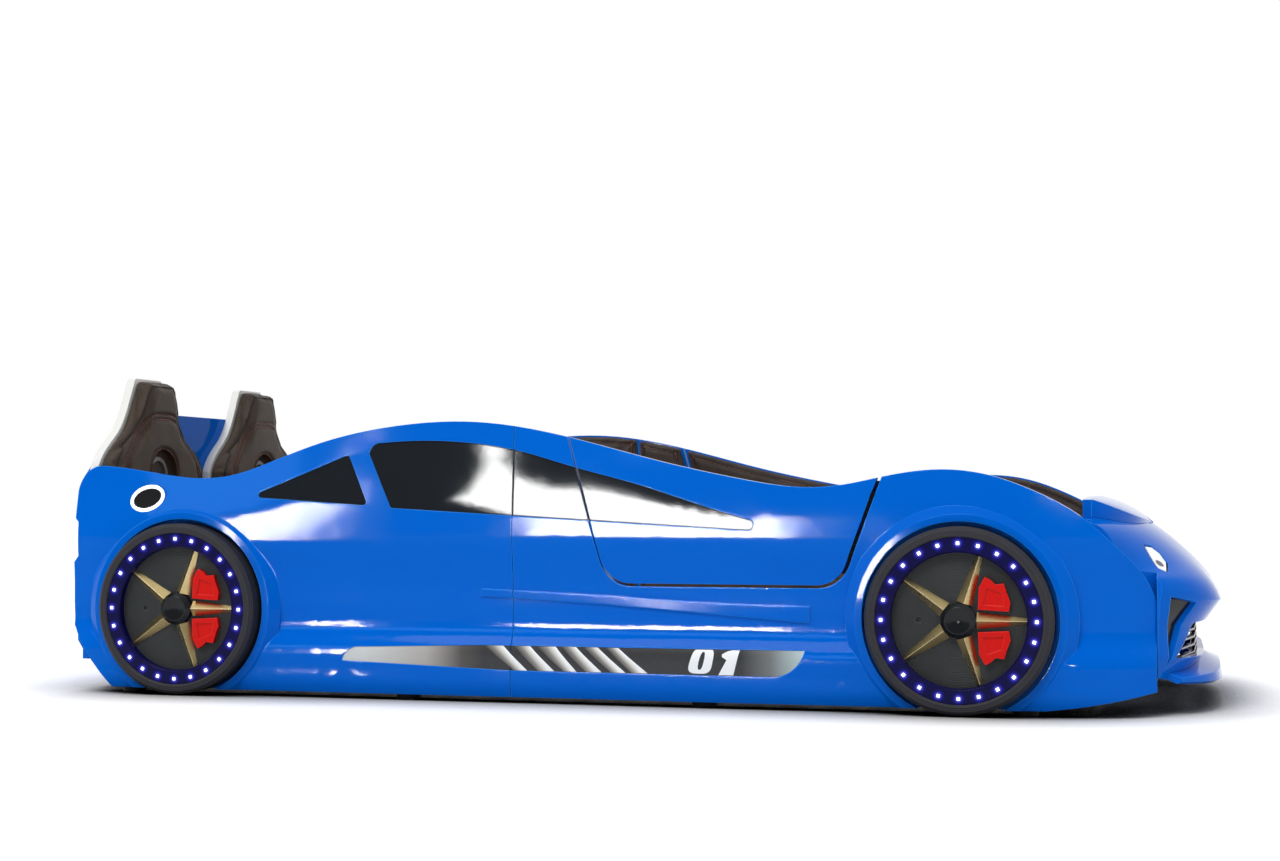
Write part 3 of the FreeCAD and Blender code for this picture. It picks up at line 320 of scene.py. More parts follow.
# %% Light ring with its glow
lamp_count = 24
lamp_size = 0.003
lamp_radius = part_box("leds")[1].z - axle_height - lamp_size
glow_reach = 0.013
glow_core = 0.002
ring_acrylic, tree, body, place = new_material(
    "navy_acrylic", "#0c0b40", 0.2, IOR=1.49, Specular_IOR_Level=0.1
)
radius, turns = from_axle(tree, place)
share = add(tree, "Math", {0: turns, 1: lamp_count}, operation="MULTIPLY")
nearest = add(tree, "Math", {0: share}, operation="ROUND")
offset = add(tree, "Math", {0: share, 1: nearest}, operation="SUBTRACT")
lamp_pitch = math.tau * lamp_radius / lamp_count
around = add(tree, "Math", {0: offset, 1: lamp_pitch}, operation="MULTIPLY")
outward = add(tree, "Math", {0: radius, 1: lamp_radius}, operation="SUBTRACT")
apart = add(tree, "CombineXYZ", {"X": around, "Y": outward})
far = add(tree, "VectorMath", {0: apart}, operation="LENGTH").outputs["Value"]
near = add(tree, "MapRange", {"Value": far, "From Min": glow_reach, "From Max": glow_core})
glow_stops = [(0, "#000006"), (0.5, "#12117a"), (1, "#7f7dff")]
glow = add(tree, "ValToRGB", {"Fac": near}, stops=glow_stops)
tree.links.new(glow.outputs[0], body.inputs["Emission Color"])
body.inputs["Emission Strength"].default_value = 0.9
cloud = add(tree, "TexNoise", {"Vector": place, "Scale": 1 / 0.02, "Detail": 3.0})
tint = add(tree, "MixRGB", {"Fac": cloud, "Color1": "#080731", "Color2": "#100e4c"})
finish_surface(tree, body, tint, (cloud, 0.16, 0.3), cloud, 0.0001, 0.0015)
print("lamps lie", round(lamp_radius * 1000), "mm from the axle")

# %% [markdown]
# ## Lamps
# Each lamp is a frosted white lens that is lit from behind.

# %% Lamp lens
lamp_lens, tree, body, place = new_material("white_lamp_lens", "#f4f6ff", 0.2, IOR=1.49)
frost = add(tree, "TexNoise", {"Vector": place, "Scale": 1 / 0.001})
tint = add(tree, "MixRGB", {"Fac": frost, "Color1": "#ffffff", "Color2": "#e6eaff"})
tree.links.new(tint.outputs[0], body.inputs["Emission Color"])
body.inputs["Emission Strength"].default_value = 1.6
finish_surface(tree, body, tint, (frost, 0.15, 0.35), frost, 0.0001)
print("lens:", lamp_lens.name)

# %% [markdown]
# ## Metals
# The spokes are plated plastic in pale gold, which reads as a soft metal with a light and a dark
# side on each ridge.  The badge ring is bright chrome plate.  Brackets and bolts are zinc-plated
# steel, with the cloudy patches that a plating bath leaves.  The hinges have a black passivated
# plating, so that they don't shine through the door's gap.


# %% Metal finishes
grain_depth = 0.00005
plated_edge = 0.001


def plated(name, colour, dull, worn, rough, cloud_size, grain_size):
    """A plated metal: cloudy tint, fine grain, and edges brighter from wear and a painted
    highlight.
    """
    made, tree, body, place = new_material(name, colour, rough, Metallic=1.0)
    cloud = add(tree, "TexNoise", {"Vector": place, "Scale": 1 / cloud_size, "Detail": 4.0})
    grain = add(tree, "TexNoise", {"Vector": place, "Scale": 1 / grain_size, "Detail": 2.0})
    tint = add(tree, "MixRGB", {"Fac": cloud, "Color1": colour, "Color2": dull})
    # Brighter edges: wear, and a painted highlight along them.
    edges = edge_mask(tree, plated_edge)
    rubbed_and_highlit = add(tree, "MixRGB", {"Fac": edges, "Color1": tint, "Color2": worn})
    swing = (cloud, rough * 0.7, rough * 1.4)
    finish_surface(tree, body, rubbed_and_highlit, swing, grain, grain_depth, plated_edge)
    return made


gold_plate = plated("pale_gold_plate", "#d6c391", "#b9a46c", "#fff4cd", 0.28, 0.03, 0.002)
chrome_plate = plated("bright_chrome_plate", "#e6e7ea", "#d5d7db", "#ffffff", 0.12, 0.02, 0.002)
zinc_plate = plated("zinc_plated_steel", "#b9bcbf", "#9fa4aa", "#dadcde", 0.38, 0.008, 0.001)
black_zinc = plated("black_passivated_zinc", "#1c1d1f", "#151617", "#3c3e41", 0.45, 0.008, 0.001)
print("metals:", gold_plate.name, chrome_plate.name, zinc_plate.name, black_zinc.name)

# %% [markdown]
# ## Wood, melamine and the small black parts
# Slats are peeled beech plywood: warm, with straight grain that runs across the bed, drawn as
# noise stretched about thirty times along the slat.  The middle beam is pine in the same way,
# along the bed.  The rails are melamine board, coloured near black as painted shade, since they
# sit in the dark under the sills.  Feet, the lamp control box and the speaker rings are matt
# mouldings with a fine spark-eroded texture, drawn at 2 mm, and the door seals are rubber that
# looks much the same.


# %% Wood and matt plastics
fibre_size = 0.006
ray_size = 0.0015
matt_patch_size = 0.04
soft_edge = 0.001


def wood(name, pale, dark, across_bed):
    """Straight-grained wood, its fibres along the slat or along the bed."""
    made, tree, body, place = new_material(name, pale, 0.5, IOR=1.5)
    stretch = (1.0, 0.03, 1.0) if across_bed else (0.03, 1.0, 1.0)
    fibres = add(tree, "Mapping", {"Vector": place, "Scale": stretch})
    grain = add(tree, "TexNoise", {"Vector": fibres, "Scale": 1 / fibre_size, "Detail": 6.0})
    rays = add(tree, "TexNoise", {"Vector": fibres, "Scale": 1 / ray_size, "Detail": 2.0})
    bands = add(tree, "ValToRGB", {"Fac": grain}, stops=[(0.3, dark), (0.6, pale), (1, pale)])
    mixed = {"Fac": rays, "Color1": bands, "Color2": dark}
    flecks = add(tree, "MixRGB", mixed, blend_type="MULTIPLY")
    soft = add(tree, "MixRGB", {"Fac": 0.3, "Color1": bands, "Color2": flecks})
    finish_surface(tree, body, soft, (grain, 0.42, 0.6), rays, depth=0.0001, edge=soft_edge)
    return made


def matt_plastic(name, colour, dull, rough, grit_size):
    """Spark-eroded moulded plastic."""
    made, tree, body, place = new_material(name, colour, rough, IOR=1.49)
    grit = add(tree, "TexNoise", {"Vector": place, "Scale": 1 / grit_size, "Detail": 3.0})
    patches = add(tree, "TexNoise", {"Vector": place, "Scale": 1 / matt_patch_size, "Detail": 3.0})
    tint = add(tree, "MixRGB", {"Fac": patches, "Color1": colour, "Color2": dull})
    swing = (patches, rough * 0.85, rough * 1.15)
    finish_surface(tree, body, tint, swing, grit, depth=0.0003, edge=soft_edge)
    return made


slat_beech = wood("beech_plywood", "#dcbd8e", "#b98f5b", True)
beam_pine = wood("planed_pine", "#e0c592", "#bb9159", False)
foot_plastic = matt_plastic("black_polypropylene", "#1d1d1e", "#161617", 0.55, 0.002)
box_plastic = matt_plastic("dark_grey_abs", "#2c2d30", "#242527", 0.5, 0.002)
ring_plastic = matt_plastic("grey_moulded_ring", "#8b8c90", "#77787c", 0.4, 0.002)
# The rails' near-black colour is painted shade; the board itself is pale.
rail_board_in_shade = matt_plastic("melamine_board_painted_shade", "#1e1d1d", "#171616", 0.5, 0.003)
seal_rubber = matt_plastic("black_seal_rubber", "#111113", "#0c0c0e", 0.7, 0.002)
print("woods and matt plastics made")

# %% [markdown]
# ## Speaker cone
# The cone is pressed paper behind a perforated steel mesh.  A grid of holes 3 mm apart, drawn as
# the product of two sines, gives the mesh that shows from a step away.

# %% Perforated speaker mesh
hole_pitch = 0.003
cone_mesh, tree, body, place = new_material("perforated_black_mesh", "#1a1a1b", 0.5, IOR=1.5)
split = add(tree, "SeparateXYZ", {0: place})
waves = []
for axis in ("Y", "Z"):
    turn = {0: split.outputs[axis], 1: math.tau / hole_pitch}
    phase = add(tree, "Math", turn, operation="MULTIPLY")
    waves.append(add(tree, "Math", {0: phase}, operation="SINE"))
holes = add(tree, "Math", {0: waves[0], 1: waves[1]}, operation="MULTIPLY")
mesh_stops = [(0.2, "#303134"), (0.4, "#0a0a0b"), (1, "#060606")]
tint = add(tree, "ValToRGB", {"Fac": holes}, stops=mesh_stops)
finish_surface(tree, body, tint, (holes, 0.35, 0.7), holes, depth=0.0004)
print("holes", round(hole_pitch * 1000), "mm apart in", cone_mesh.name)

# %% [markdown]
# ## The sill stripe
# The stripe is a printed vinyl strip: black in the middle, fading to silver at both ends.  The
# fade is a ramp along the bed, read from the stripe's own length.

# %% Stripe vinyl
stripe_low, stripe_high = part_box("sill_strips")
stripe_length = stripe_high.x - stripe_low.x
speckle_size = 0.0015
print_depth = 0.00003
stripe_vinyl, tree, body, place = new_material(
    "printed_vinyl", "#1e2022", 0.25, IOR=1.5, Specular_IOR_Level=0.2
)
along = add(tree, "SeparateXYZ", {0: place}).outputs["X"]
ends = {"Value": along, "From Min": stripe_low.x, "From Max": stripe_high.x}
share = add(tree, "MapRange", ends)
fade_stops = [
    (0, "#c9cdcc"), (0.05, "#c9cdcc"), (0.19, "#a9a6a2"), (0.27, "#4b4744"), (0.32, "#26272a"),
    (0.87, "#26272a"), (0.93, "#6c7172"), (1, "#b9cdd0"),
]
fade = add(tree, "ValToRGB", {"Fac": share}, stops=fade_stops)
speckle = add(tree, "TexNoise", {"Vector": place, "Scale": 1 / speckle_size})
mixed = add(tree, "MixRGB", {"Fac": 0.06, "Color1": fade, "Color2": speckle.outputs["Color"]})
finish_surface(tree, body, mixed, (speckle, 0.18, 0.32), speckle, print_depth, edge=0.0005)
print("stripe is", round(stripe_length, 3), "m long")

# %% [markdown]
# ## Headlight
# The lens is clear polycarbonate over a white reflector, with fine ribs 5 mm apart and a dark lamp
# bowl 21 mm across in its lower front.  The reflector round the bowl glows faintly, which is
# painted light.  Both sides are folded onto one, as the wheels are.

# %% Headlight lens
rib_pitch = 0.005
haze_size = 0.03
bowl_inside = 0.009
bowl_outside = 0.012
lens_low, lens_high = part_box("headlight_lenses")
lamp_place = (
    between(lens_low.x, lens_high.x, 0.62),
    lens_high.y - 0.016,
    between(lens_low.z, lens_high.z, 0.36),
)
headlight, tree, body, place = new_material(
    "ribbed_polycarbonate", "#eef1f6", 0.1, IOR=1.58, Coat_Weight=0.5
)
split = add(tree, "SeparateXYZ", {0: place})
turn = {0: split.outputs["X"], 1: math.tau / rib_pitch}
phase = add(tree, "Math", turn, operation="MULTIPLY")
ribs = add(tree, "Math", {0: phase}, operation="SINE")
haze = add(tree, "TexNoise", {"Vector": place, "Scale": 1 / haze_size})
tint = add(tree, "MixRGB", {"Fac": haze, "Color1": "#f6f8fc", "Color2": "#dfe5ee"})
side_free = add(tree, "Math", {0: split.outputs["Y"]}, operation="ABSOLUTE")
parts = {"X": split.outputs["X"], "Y": side_free, "Z": split.outputs["Z"]}
folded = add(tree, "CombineXYZ", parts)
far = add(tree, "VectorMath", {0: folded, 1: lamp_place}, operation="DISTANCE").outputs["Value"]
rim = {"Value": far, "From Min": bowl_inside, "From Max": bowl_outside}
bowl = add(tree, "MapRange", rim)
tint = add(tree, "MixRGB", {"Fac": bowl, "Color1": "#0b0c10", "Color2": tint})
# The faint glow of the reflector is painted light.
painted_light = add(tree, "MixRGB", {"Fac": bowl, "Color1": "#000000", "Color2": "#e8eefc"})
tree.links.new(painted_light.outputs[0], body.inputs["Emission Color"])
body.inputs["Emission Strength"].default_value = 0.25
finish_surface(tree, body, tint, (haze, 0.06, 0.18), ribs, depth=0.0002, edge=0.001)
print("lamp bowl at", [round(c, 3) for c in lamp_place])

# %% [markdown]
# ## Leather
# Seats and linings are split leather with a pressed grain, over foam.  The grain is a cell
# pattern: real cells are 1 mm, and these are drawn at 4 mm so that they show.  Broad mottling
# and a little sheen keep it from looking like plastic.  Each stuffed piece carries how far every
# point is from its nearest seam, so the material can draw the thread: a dash 5 mm long every
# 7 mm, where that distance is under 1.3 mm.  Near the seam the colour runs to the dark tone, as
# painted shade in the seam's groove.


# %% Leather
cell_size = 0.004
fold_size = 0.035
mottle_size = 0.09
fold_height = 2.5
stitch_pitch = 0.007
stitch_length = 0.0052
thread_reach = 0.0013
seam_shade_near = 0.0015
seam_shade_far = 0.006


def leather(name, colour, dark, worn, thread, run_axis):
    """Grained leather, with stitches along its seams.  Stitches are spaced along one axis."""
    made, tree, body, place = new_material(
        name, colour, 0.5, IOR=1.5, Specular_IOR_Level=0.25, Sheen_Weight=0.05
    )
    grid = {"Vector": place, "Scale": 1 / cell_size}
    cells = add(tree, "TexVoronoi", grid, feature="DISTANCE_TO_EDGE")
    folds = add(tree, "TexNoise", {"Vector": place, "Scale": 1 / fold_size, "Detail": 6.0})
    mottle = add(tree, "TexNoise", {"Vector": place, "Scale": 1 / mottle_size, "Detail": 5.0})
    tone = add(tree, "ValToRGB", {"Fac": mottle}, stops=[(0.25, dark), (0.5, colour), (1, worn)])
    creased = add(tree, "MapRange", {"Value": cells, "From Max": 0.12, "To Min": 0.72})
    mixed = {"Fac": 1.0, "Color1": tone, "Color2": creased}
    shade = add(tree, "MixRGB", mixed, blend_type="MULTIPLY")
    seam = add(tree, "Attribute", attribute_name="seam").outputs["Fac"]
    # Painted shade: the colour darkens toward the seam, in its groove.
    fall = {"Value": seam, "From Min": seam_shade_near, "From Max": seam_shade_far}
    seam_shade = add(tree, "MapRange", fall)
    seam_shaded = add(tree, "MixRGB", {"Fac": seam_shade, "Color1": dark, "Color2": shade})
    run = add(tree, "SeparateXYZ", {0: place}).outputs[run_axis]
    dash = add(tree, "Math", {0: run, 1: stitch_pitch, 2: 0.0}, operation="WRAP")
    sewn = add(tree, "Math", {0: dash, 1: stitch_length}, operation="LESS_THAN")
    close = add(tree, "Math", {0: seam, 1: thread_reach}, operation="LESS_THAN")
    stitch = add(tree, "Math", {0: sewn, 1: close}, operation="MULTIPLY")
    sewing = add(tree, "MixRGB", {"Fac": stitch, "Color1": seam_shaded, "Color2": thread})
    grain = add(tree, "MapRange", {"Value": cells, "From Max": 0.15})
    rolling = add(tree, "Math", {0: folds, 1: fold_height}, operation="MULTIPLY")
    surface = add(tree, "Math", {0: grain, 1: rolling}, operation="ADD")
    raised = add(tree, "Math", {0: surface, 1: stitch}, operation="ADD")
    finish_surface(tree, body, sewing, (folds, 0.38, 0.62), raised, depth=0.0004)
    return made


lining_leather = leather("brown_split_leather", "#443a35", "#2b211d", "#5f5148", "#7a4a38", "X")
seat_leather = leather("brown_seat_leather", "#463a2f", "#33251c", "#594b3d", "#8f4a3a", "Z")
welt_leather = leather("dark_welt_leather", "#241a17", "#1a1412", "#3a2d28", "#2a211d", "Z")
print("leathers:", lining_leather.name, seat_leather.name, welt_leather.name)

# %% [markdown]
# ## Dress the hard pieces
# A solid whose shape is right only needs its own material in its slot.  The material is found by
# the longest start of a name that the list knows.

# %% Assign the materials
wearers = {
    blue_abs: "side door_right door_left nose_shell hood splitter headboard foot_board tail_panel",
    window_acrylic: "quarter_window rear_window middle_window door_window",
    black_abs: "hub_caps grille intake_liners headlight_bezels badge_domes",
    white_abs: "seat_shells", red_abs: "calipers", tyre_plastic: "tyre",
    disc_plastic: "wheel_discs", ring_acrylic: "light_rings", lamp_lens: "leds",
    gold_plate: "spokes", chrome_plate: "badge_rings", black_zinc: "hinge",
    zinc_plate: "corner_brackets bracket_bolts", stripe_vinyl: "sill_strips",
    headlight: "headlight_lenses", ring_plastic: "speaker_rings", cone_mesh: "speaker_cones",
    slat_beech: "slats", beam_pine: "centre_beam centre_legs", rail_board_in_shade: "bed_rails",
    foot_plastic: "feet", box_plastic: "control_box", seal_rubber: "door_seals",
    lining_leather: "inner_pad door_pad", seat_leather: "seat_pad",
}
finishes = {start: made for made, starts in wearers.items() for start in starts.split()}
for name, piece in nodes.items():
    wanted = max((start for start in finishes if name.startswith(start)), key=len)
    dress(piece, finishes[wanted])
    for face in piece.data.polygons:
        face.material_index = 0
print("dressed", len(nodes), "solids with", len(wearers), "materials")

# %% [markdown]
# ## Stuffing a pad
# The real pads are foam glued to board under leather, so they swell between their edges.  Cloth
# with pressure does that.  The solid is copied, drawn in by a few millimetres, remeshed into
# even quads, and blown up for twenty frames with its back held.  No point may move further than
# a cap, so the pad keeps its outline.  One subdivision smooths the result.


# %% Pad helpers
stuffing_pressure = 4
no_length = 1e-9


def evaluated(piece):
    """The piece's mesh with its modifiers applied."""
    graph = bpy.context.evaluated_depsgraph_get()
    return bpy.data.meshes.new_from_object(piece.evaluated_get(graph))


def remeshed(node, name, voxel, draw_in):
    """A copy of a solid in even quads, drawn in along its normals."""
    piece = placed(name, nodes[node].data.copy())
    remesh = piece.modifiers.new("even quads", "REMESH")
    remesh.mode = "VOXEL"
    remesh.voxel_size = voxel
    mesh = evaluated(piece)
    piece.modifiers.clear()
    piece.data = mesh
    moves = [v.normal * draw_in for v in mesh.vertices]
    for vertex, move in zip(mesh.vertices, moves):
        vertex.co -= move
    return piece


def blow_up(piece, held, cap, frames=20):
    """Inflates a piece by cloth pressure.  Held points stay, others move at most by the cap."""
    start = [v.co.copy() for v in piece.data.vertices]
    group = piece.vertex_groups.new(name="held")
    group.add([v.index for v in piece.data.vertices if held(v.co)], 1.0, "REPLACE")
    cloth = piece.modifiers.new("stuffing", "CLOTH")
    cloth.settings.vertex_group_mass = "held"
    cloth.settings.use_pressure = True
    cloth.settings.uniform_pressure_force = stuffing_pressure
    cloth.settings.effector_weights.gravity = 0
    cloth.point_cache.frame_end = frames
    for step in range(1, frames + 1):
        scene.frame_set(step)
    swollen = evaluated(piece)
    for vertex, before, after in zip(piece.data.vertices, start, swollen.vertices):
        move = after.co - before
        vertex.co = before + move * min(1.0, cap / max(move.length, no_length))
    piece.modifiers.clear()
    scene.frame_set(1)


# %% [markdown]
# ## Seams
# A seam is a line that the leather is drawn down to.  Here it is a run of points on the pad's
# face.  Each point of the face learns its distance from the nearest seam, sinks into a soft
# groove near it, and keeps the distance for the leather's thread.

# %% Seam helpers
def sew(piece, run, across, depth, width, on_face):
    """Sinks a groove along a seam of a face that looks along one axis, and stores distances."""
    tree = kdtree.KDTree(len(run))
    for i, point in enumerate(run):
        point[across] = 0
        tree.insert(point, i)
    tree.balance()
    store = piece.data.attributes.new("seam", "FLOAT", "POINT")
    for i, vertex in enumerate(piece.data.vertices):
        spot = vertex.co.copy()
        spot[across] = 0
        far = tree.find(spot)[2] if on_face(vertex.co) else 1.0
        store.data[i].value = far
        vertex.co[across] -= depth * math.exp(-((far / width) ** 2))


def even_run(corners, spacing):
    """Evenly spaced points along a line through its corners."""
    run = []
    for a, b in zip(corners, corners[1:]):
        count = max(1, round((b - a).length / spacing))
        run += [a.lerp(b, i / count) for i in range(count)]
    return run + [corners[-1]]


def subdivided(piece):
    """One level of subdivision, applied."""
    piece.modifiers.new("smooth", "SUBSURF").levels = 1
    mesh = evaluated(piece)
    piece.modifiers.clear()
    piece.data = mesh
    for face in mesh.polygons:
        face.use_smooth = True


def mirrored_copy(piece, name):
    """The same piece for the other side of the bed."""
    mesh = piece.data.copy()
    for vertex in mesh.vertices:
        vertex.co.y = -vertex.co.y
    mesh.flip_normals()
    return placed(name, mesh)


# %% [markdown]
# ## Side and door linings
# Each lining is a long padded board that follows the roof line.  A line of stitching runs 11 mm
# inside its rim.  The rim is found from the solid itself: the edges of its flat front face, each
# moved inward.


# %% The rim of a lining
same_point = 1e-5


def rim_run(node, inset, spacing):
    """Points on a pad's face that lie a distance inside its outline, along the pad's plane."""
    bm = bmesh.new()
    bm.from_mesh(nodes[node].data)
    bmesh.ops.remove_doubles(bm, verts=bm.verts, dist=same_point)
    front = min(abs(v.co.y) for v in bm.verts)
    flat = [
        f for f in bm.faces
        if abs(abs(f.normal.y) - 1) < 1e-3 and abs(abs(f.verts[0].co.y) - front) < 1e-4
    ]
    edges = [e for f in flat for e in f.edges if sum(g in flat for g in e.link_faces) == 1]
    points = []
    for edge in edges:
        a, b = edge.verts[0].co, edge.verts[1].co
        face = next(f for f in edge.link_faces if f in flat)
        inward = face.calc_center_median() - (a + b) / 2
        line = (b - a).normalized()
        inward = (inward - line * inward.dot(line)).normalized()
        count = max(1, int((b - a).length / spacing))
        points += [a.lerp(b, (i + 0.5) / count) + inward * inset for i in range(count)]
    bm.free()
    return points


# %% [markdown]
# The three linings of the right side are stuffed and sewn, and each has a mirrored twin on the
# left.  A pad rides the body that its solid rides, so the door's lining swings with the door.

# %% Linings
for kind in ("inner_pad_rear", "inner_pad_front", "door_pad"):
    node = kind + "_right"
    low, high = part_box(node)
    back = low.y
    piece = remeshed(node, node + "_leather", voxel=0.006, draw_in=0.003)
    blow_up(piece, held=lambda p: p.y < back + 0.006, cap=0.006)
    subdivided(piece)
    for vertex in piece.data.vertices:
        vertex.co.y = max(vertex.co.y, back)
    sew(
        piece, rim_run(node, inset=0.011, spacing=0.003), across=1,
        depth=0.002, width=0.004, on_face=lambda p: p.y > back + 0.008,
    )
    dress(piece, lining_leather)
    other = mirrored_copy(piece, kind + "_left_leather")
    for pad, side in ((piece, "_right"), (other, "_left")):
        carrier = nodes[kind + side].parent
        owner = next(name for name, empty in frame["bodies"].items() if carrier == empty)
        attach(pad, owner)
        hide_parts(kind + side)
    print(kind, len(piece.data.vertices), "points")

# %% [markdown]
# ## Seat backs
# A racing seat's back is one foam block in a leather cover.  Two rows of stitches, 11 mm apart,
# run up inside its outline and close in a flat arch under the head.  A third row goes round the
# opening with the speaker.

# %% Seat seams
seat_low, seat_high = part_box("seat_pad_right")
seat_middle = (seat_low.y + seat_high.y) / 2
seat_face = seat_high.x - 0.004
speaker_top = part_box("speaker_rings")[1].z
twin_gap = 0.011
seat_half = 0.2


def both_sides(half):
    """A line through (half width, height) pairs from the crown down, and its mirror image."""
    left = [Vector((0, seat_middle - w, z)) for w, z in reversed(half)]
    return left + [Vector((0, seat_middle + w, z)) for w, z in half]


def drawn_in(half, inset):
    """The same half line, moved toward the middle and down."""
    return [(max(0.0, w - inset), z - inset * (1 - w / seat_half)) for w, z in half]


outer_seam = [
    (0, 0.594), (0.030, 0.593), (0.055, 0.588), (0.073, 0.577), (0.103, 0.547), (0.140, 0.511),
    (0.162, 0.488), (0.172, 0.455), (0.174, 0.350),
]
arch_half = 0.062
arch_foot = speaker_top - 0.032
arch_steps = 8
arch_seam = [
    (arch_half * math.sin(a), arch_foot + arch_half * 0.8 * math.cos(a))
    for a in [math.pi / 2 * i / arch_steps for i in range(arch_steps + 1)]
]
seams = []
for half in (outer_seam, drawn_in(outer_seam, twin_gap), arch_seam + [(arch_half, 0.36)]):
    seams += even_run(both_sides(half), spacing=0.002)
print("seams:", len(seams), "points")

# %% [markdown]
# The middle of the pad is levelled to one plane before it's blown up, so that the soft channel
# of the solid doesn't swell into a ridge.

# %% Seat pads
piece = remeshed("seat_pad_right", "seat_pad_right_leather", voxel=0.005, draw_in=0.004)
for vertex in piece.data.vertices:
    sunk = seat_face - 0.008 < vertex.co.x < seat_face
    if sunk and abs(vertex.co.y - seat_middle) < 0.085:
        vertex.co.x = seat_face
blow_up(piece, held=lambda p: p.x < seat_low.x + 0.006, cap=0.009)
subdivided(piece)
for vertex in piece.data.vertices:
    vertex.co.x = max(vertex.co.x, seat_low.x)
sew(
    piece, seams, across=0, depth=0.004, width=0.005,
    on_face=lambda p: p.x > seat_high.x - 0.014,
)
dress(piece, seat_leather)
other = mirrored_copy(piece, "seat_pad_left_leather")
for pad, side in ((piece, "_right"), (other, "_left")):
    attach(pad, "bed")
    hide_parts("seat_pad" + side)
print("seat pad:", len(piece.data.vertices), "points")

# %% [markdown]
# ## Piping
# Piping is a cord wrapped in leather and sewn into the seam, 5 mm thick.  It follows the rim of
# the front face, dropped onto the stuffed pad, so that it lies in the leather all the way.


# %% Piping
def piping(name, pad, corners, thickness):
    """A leather-wrapped cord that follows a line on a pad's front."""
    surface = BVHTree.FromObject(pad, bpy.context.evaluated_depsgraph_get())
    line = bpy.data.curves.new(name, "CURVE")
    line.dimensions = "3D"
    line.bevel_depth = thickness / 2
    line.bevel_resolution = 3
    dropped = []
    for point in even_run(corners, spacing=0.006):
        start = Vector((seat_high.x + 0.05, point.y, point.z))
        hit = surface.ray_cast(start, Vector((-1, 0, 0)))[0]
        if hit:
            dropped.append(hit)
    spline = line.splines.new("POLY")
    spline.points.add(len(dropped) - 1)
    for place, point in zip(spline.points, dropped):
        place.co = (*point, 1)
    made = placed(name, line)
    mesh = evaluated(made)
    bpy.data.objects.remove(made)
    cord = placed(name, mesh)
    store = mesh.attributes.new("seam", "FLOAT", "POINT")
    store.data.foreach_set("value", [1.0] * len(mesh.vertices))
    for face in mesh.polygons:
        face.use_smooth = True
    mesh.materials.append(welt_leather)
    return cord


face_rim = [
    (0.046, 0.655), (0.062, 0.632), (0.082, 0.587), (0.106, 0.557), (0.140, 0.530), (0.176, 0.500),
    (0.195, 0.470), (0.195, 0.36),
]
cord = piping("seat_piping_right", piece, both_sides(face_rim), thickness=0.005)
for welt in (cord, mirrored_copy(cord, "seat_piping_left")):
    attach(welt, "bed")
print("piping:", len(cord.data.vertices), "points each side")

# %% [markdown]
# ## Bars and number on the stripe
# The stripe carries six slanted silver bars, each printed as a fade from dark to bright, and a
# plain white number.  They are thin vinyl, and each sheet carries how far across and how far
# down its points lie, from which the silver takes its fade.

# %% Vinyl colours
silver_vinyl, tree, body, place = new_material(
    "silver_faded_vinyl", "#c9ccca", 0.3, IOR=1.5, Specular_IOR_Level=0.2
)
across = add(tree, "Attribute", attribute_name="across").outputs["Fac"]
down = add(tree, "Attribute", attribute_name="down").outputs["Fac"]
share = add(tree, "Math", {0: down, 1: 0.3, 2: across}, operation="MULTIPLY_ADD")
silver_stops = [(0.05, "#2c2b2b"), (0.45, "#86837d"), (0.8, "#dcdcd5"), (1, "#f8fbfb")]
tone = add(tree, "ValToRGB", {"Fac": share}, stops=silver_stops)
flake = add(tree, "TexNoise", {"Vector": place, "Scale": 1 / speckle_size})
mixed = add(tree, "MixRGB", {"Fac": 0.05, "Color1": tone, "Color2": flake.outputs["Color"]})
finish_surface(tree, body, mixed, (flake, 0.22, 0.4), flake, print_depth)

white_vinyl, tree, body, place = new_material("white_vinyl", "#f3f5f7", 0.35, IOR=1.5)
cloud = add(tree, "TexNoise", {"Vector": place, "Scale": 1 / 0.004})
tint = add(tree, "MixRGB", {"Fac": cloud, "Color1": "#f6f8fa", "Color2": "#eceff2"})
finish_surface(tree, body, tint, (cloud, 0.28, 0.42), cloud, print_depth)
print("vinyls:", silver_vinyl.name, white_vinyl.name)

# %% [markdown]
# ## Laying vinyl
# A sheet starts as rows of points in the side view.  Each point is dropped onto the strip from
# the side, kept half a millimetre inside its edges, and lifted by 0.3 mm.  Over the open joint
# between the strip's two lengths, the nearest length gives the depth.

# %% Laying a sheet
strips = BVHTree.FromObject(nodes["sill_strips"], bpy.context.evaluated_depsgraph_get())
vinyl_lift = 0.0003
vinyl_margin = 0.0005
joint_steps = (0, 0.002, -0.002, 0.004, -0.004)
ray_length = 0.7
strip_heights = [z / 1000 for z in range(40, 140)]


def on_strip(x, z, side):
    """A place of the side view dropped onto the strip of one side, also over its joint."""
    inward = Vector((0, -side, 0))
    for shift in joint_steps:
        hit, normal, _, _ = strips.ray_cast(Vector((x + shift, side, z)), inward, ray_length)
        if hit:
            return Vector((x, hit.y, z)) + normal * vinyl_lift
    return None


def strip_edges(x, side):
    """The strip's top and foot at a place along the bed."""
    heights = [z for z in strip_heights if on_strip(x, z, side)]
    return heights[-1] - vinyl_margin, heights[0] + vinyl_margin


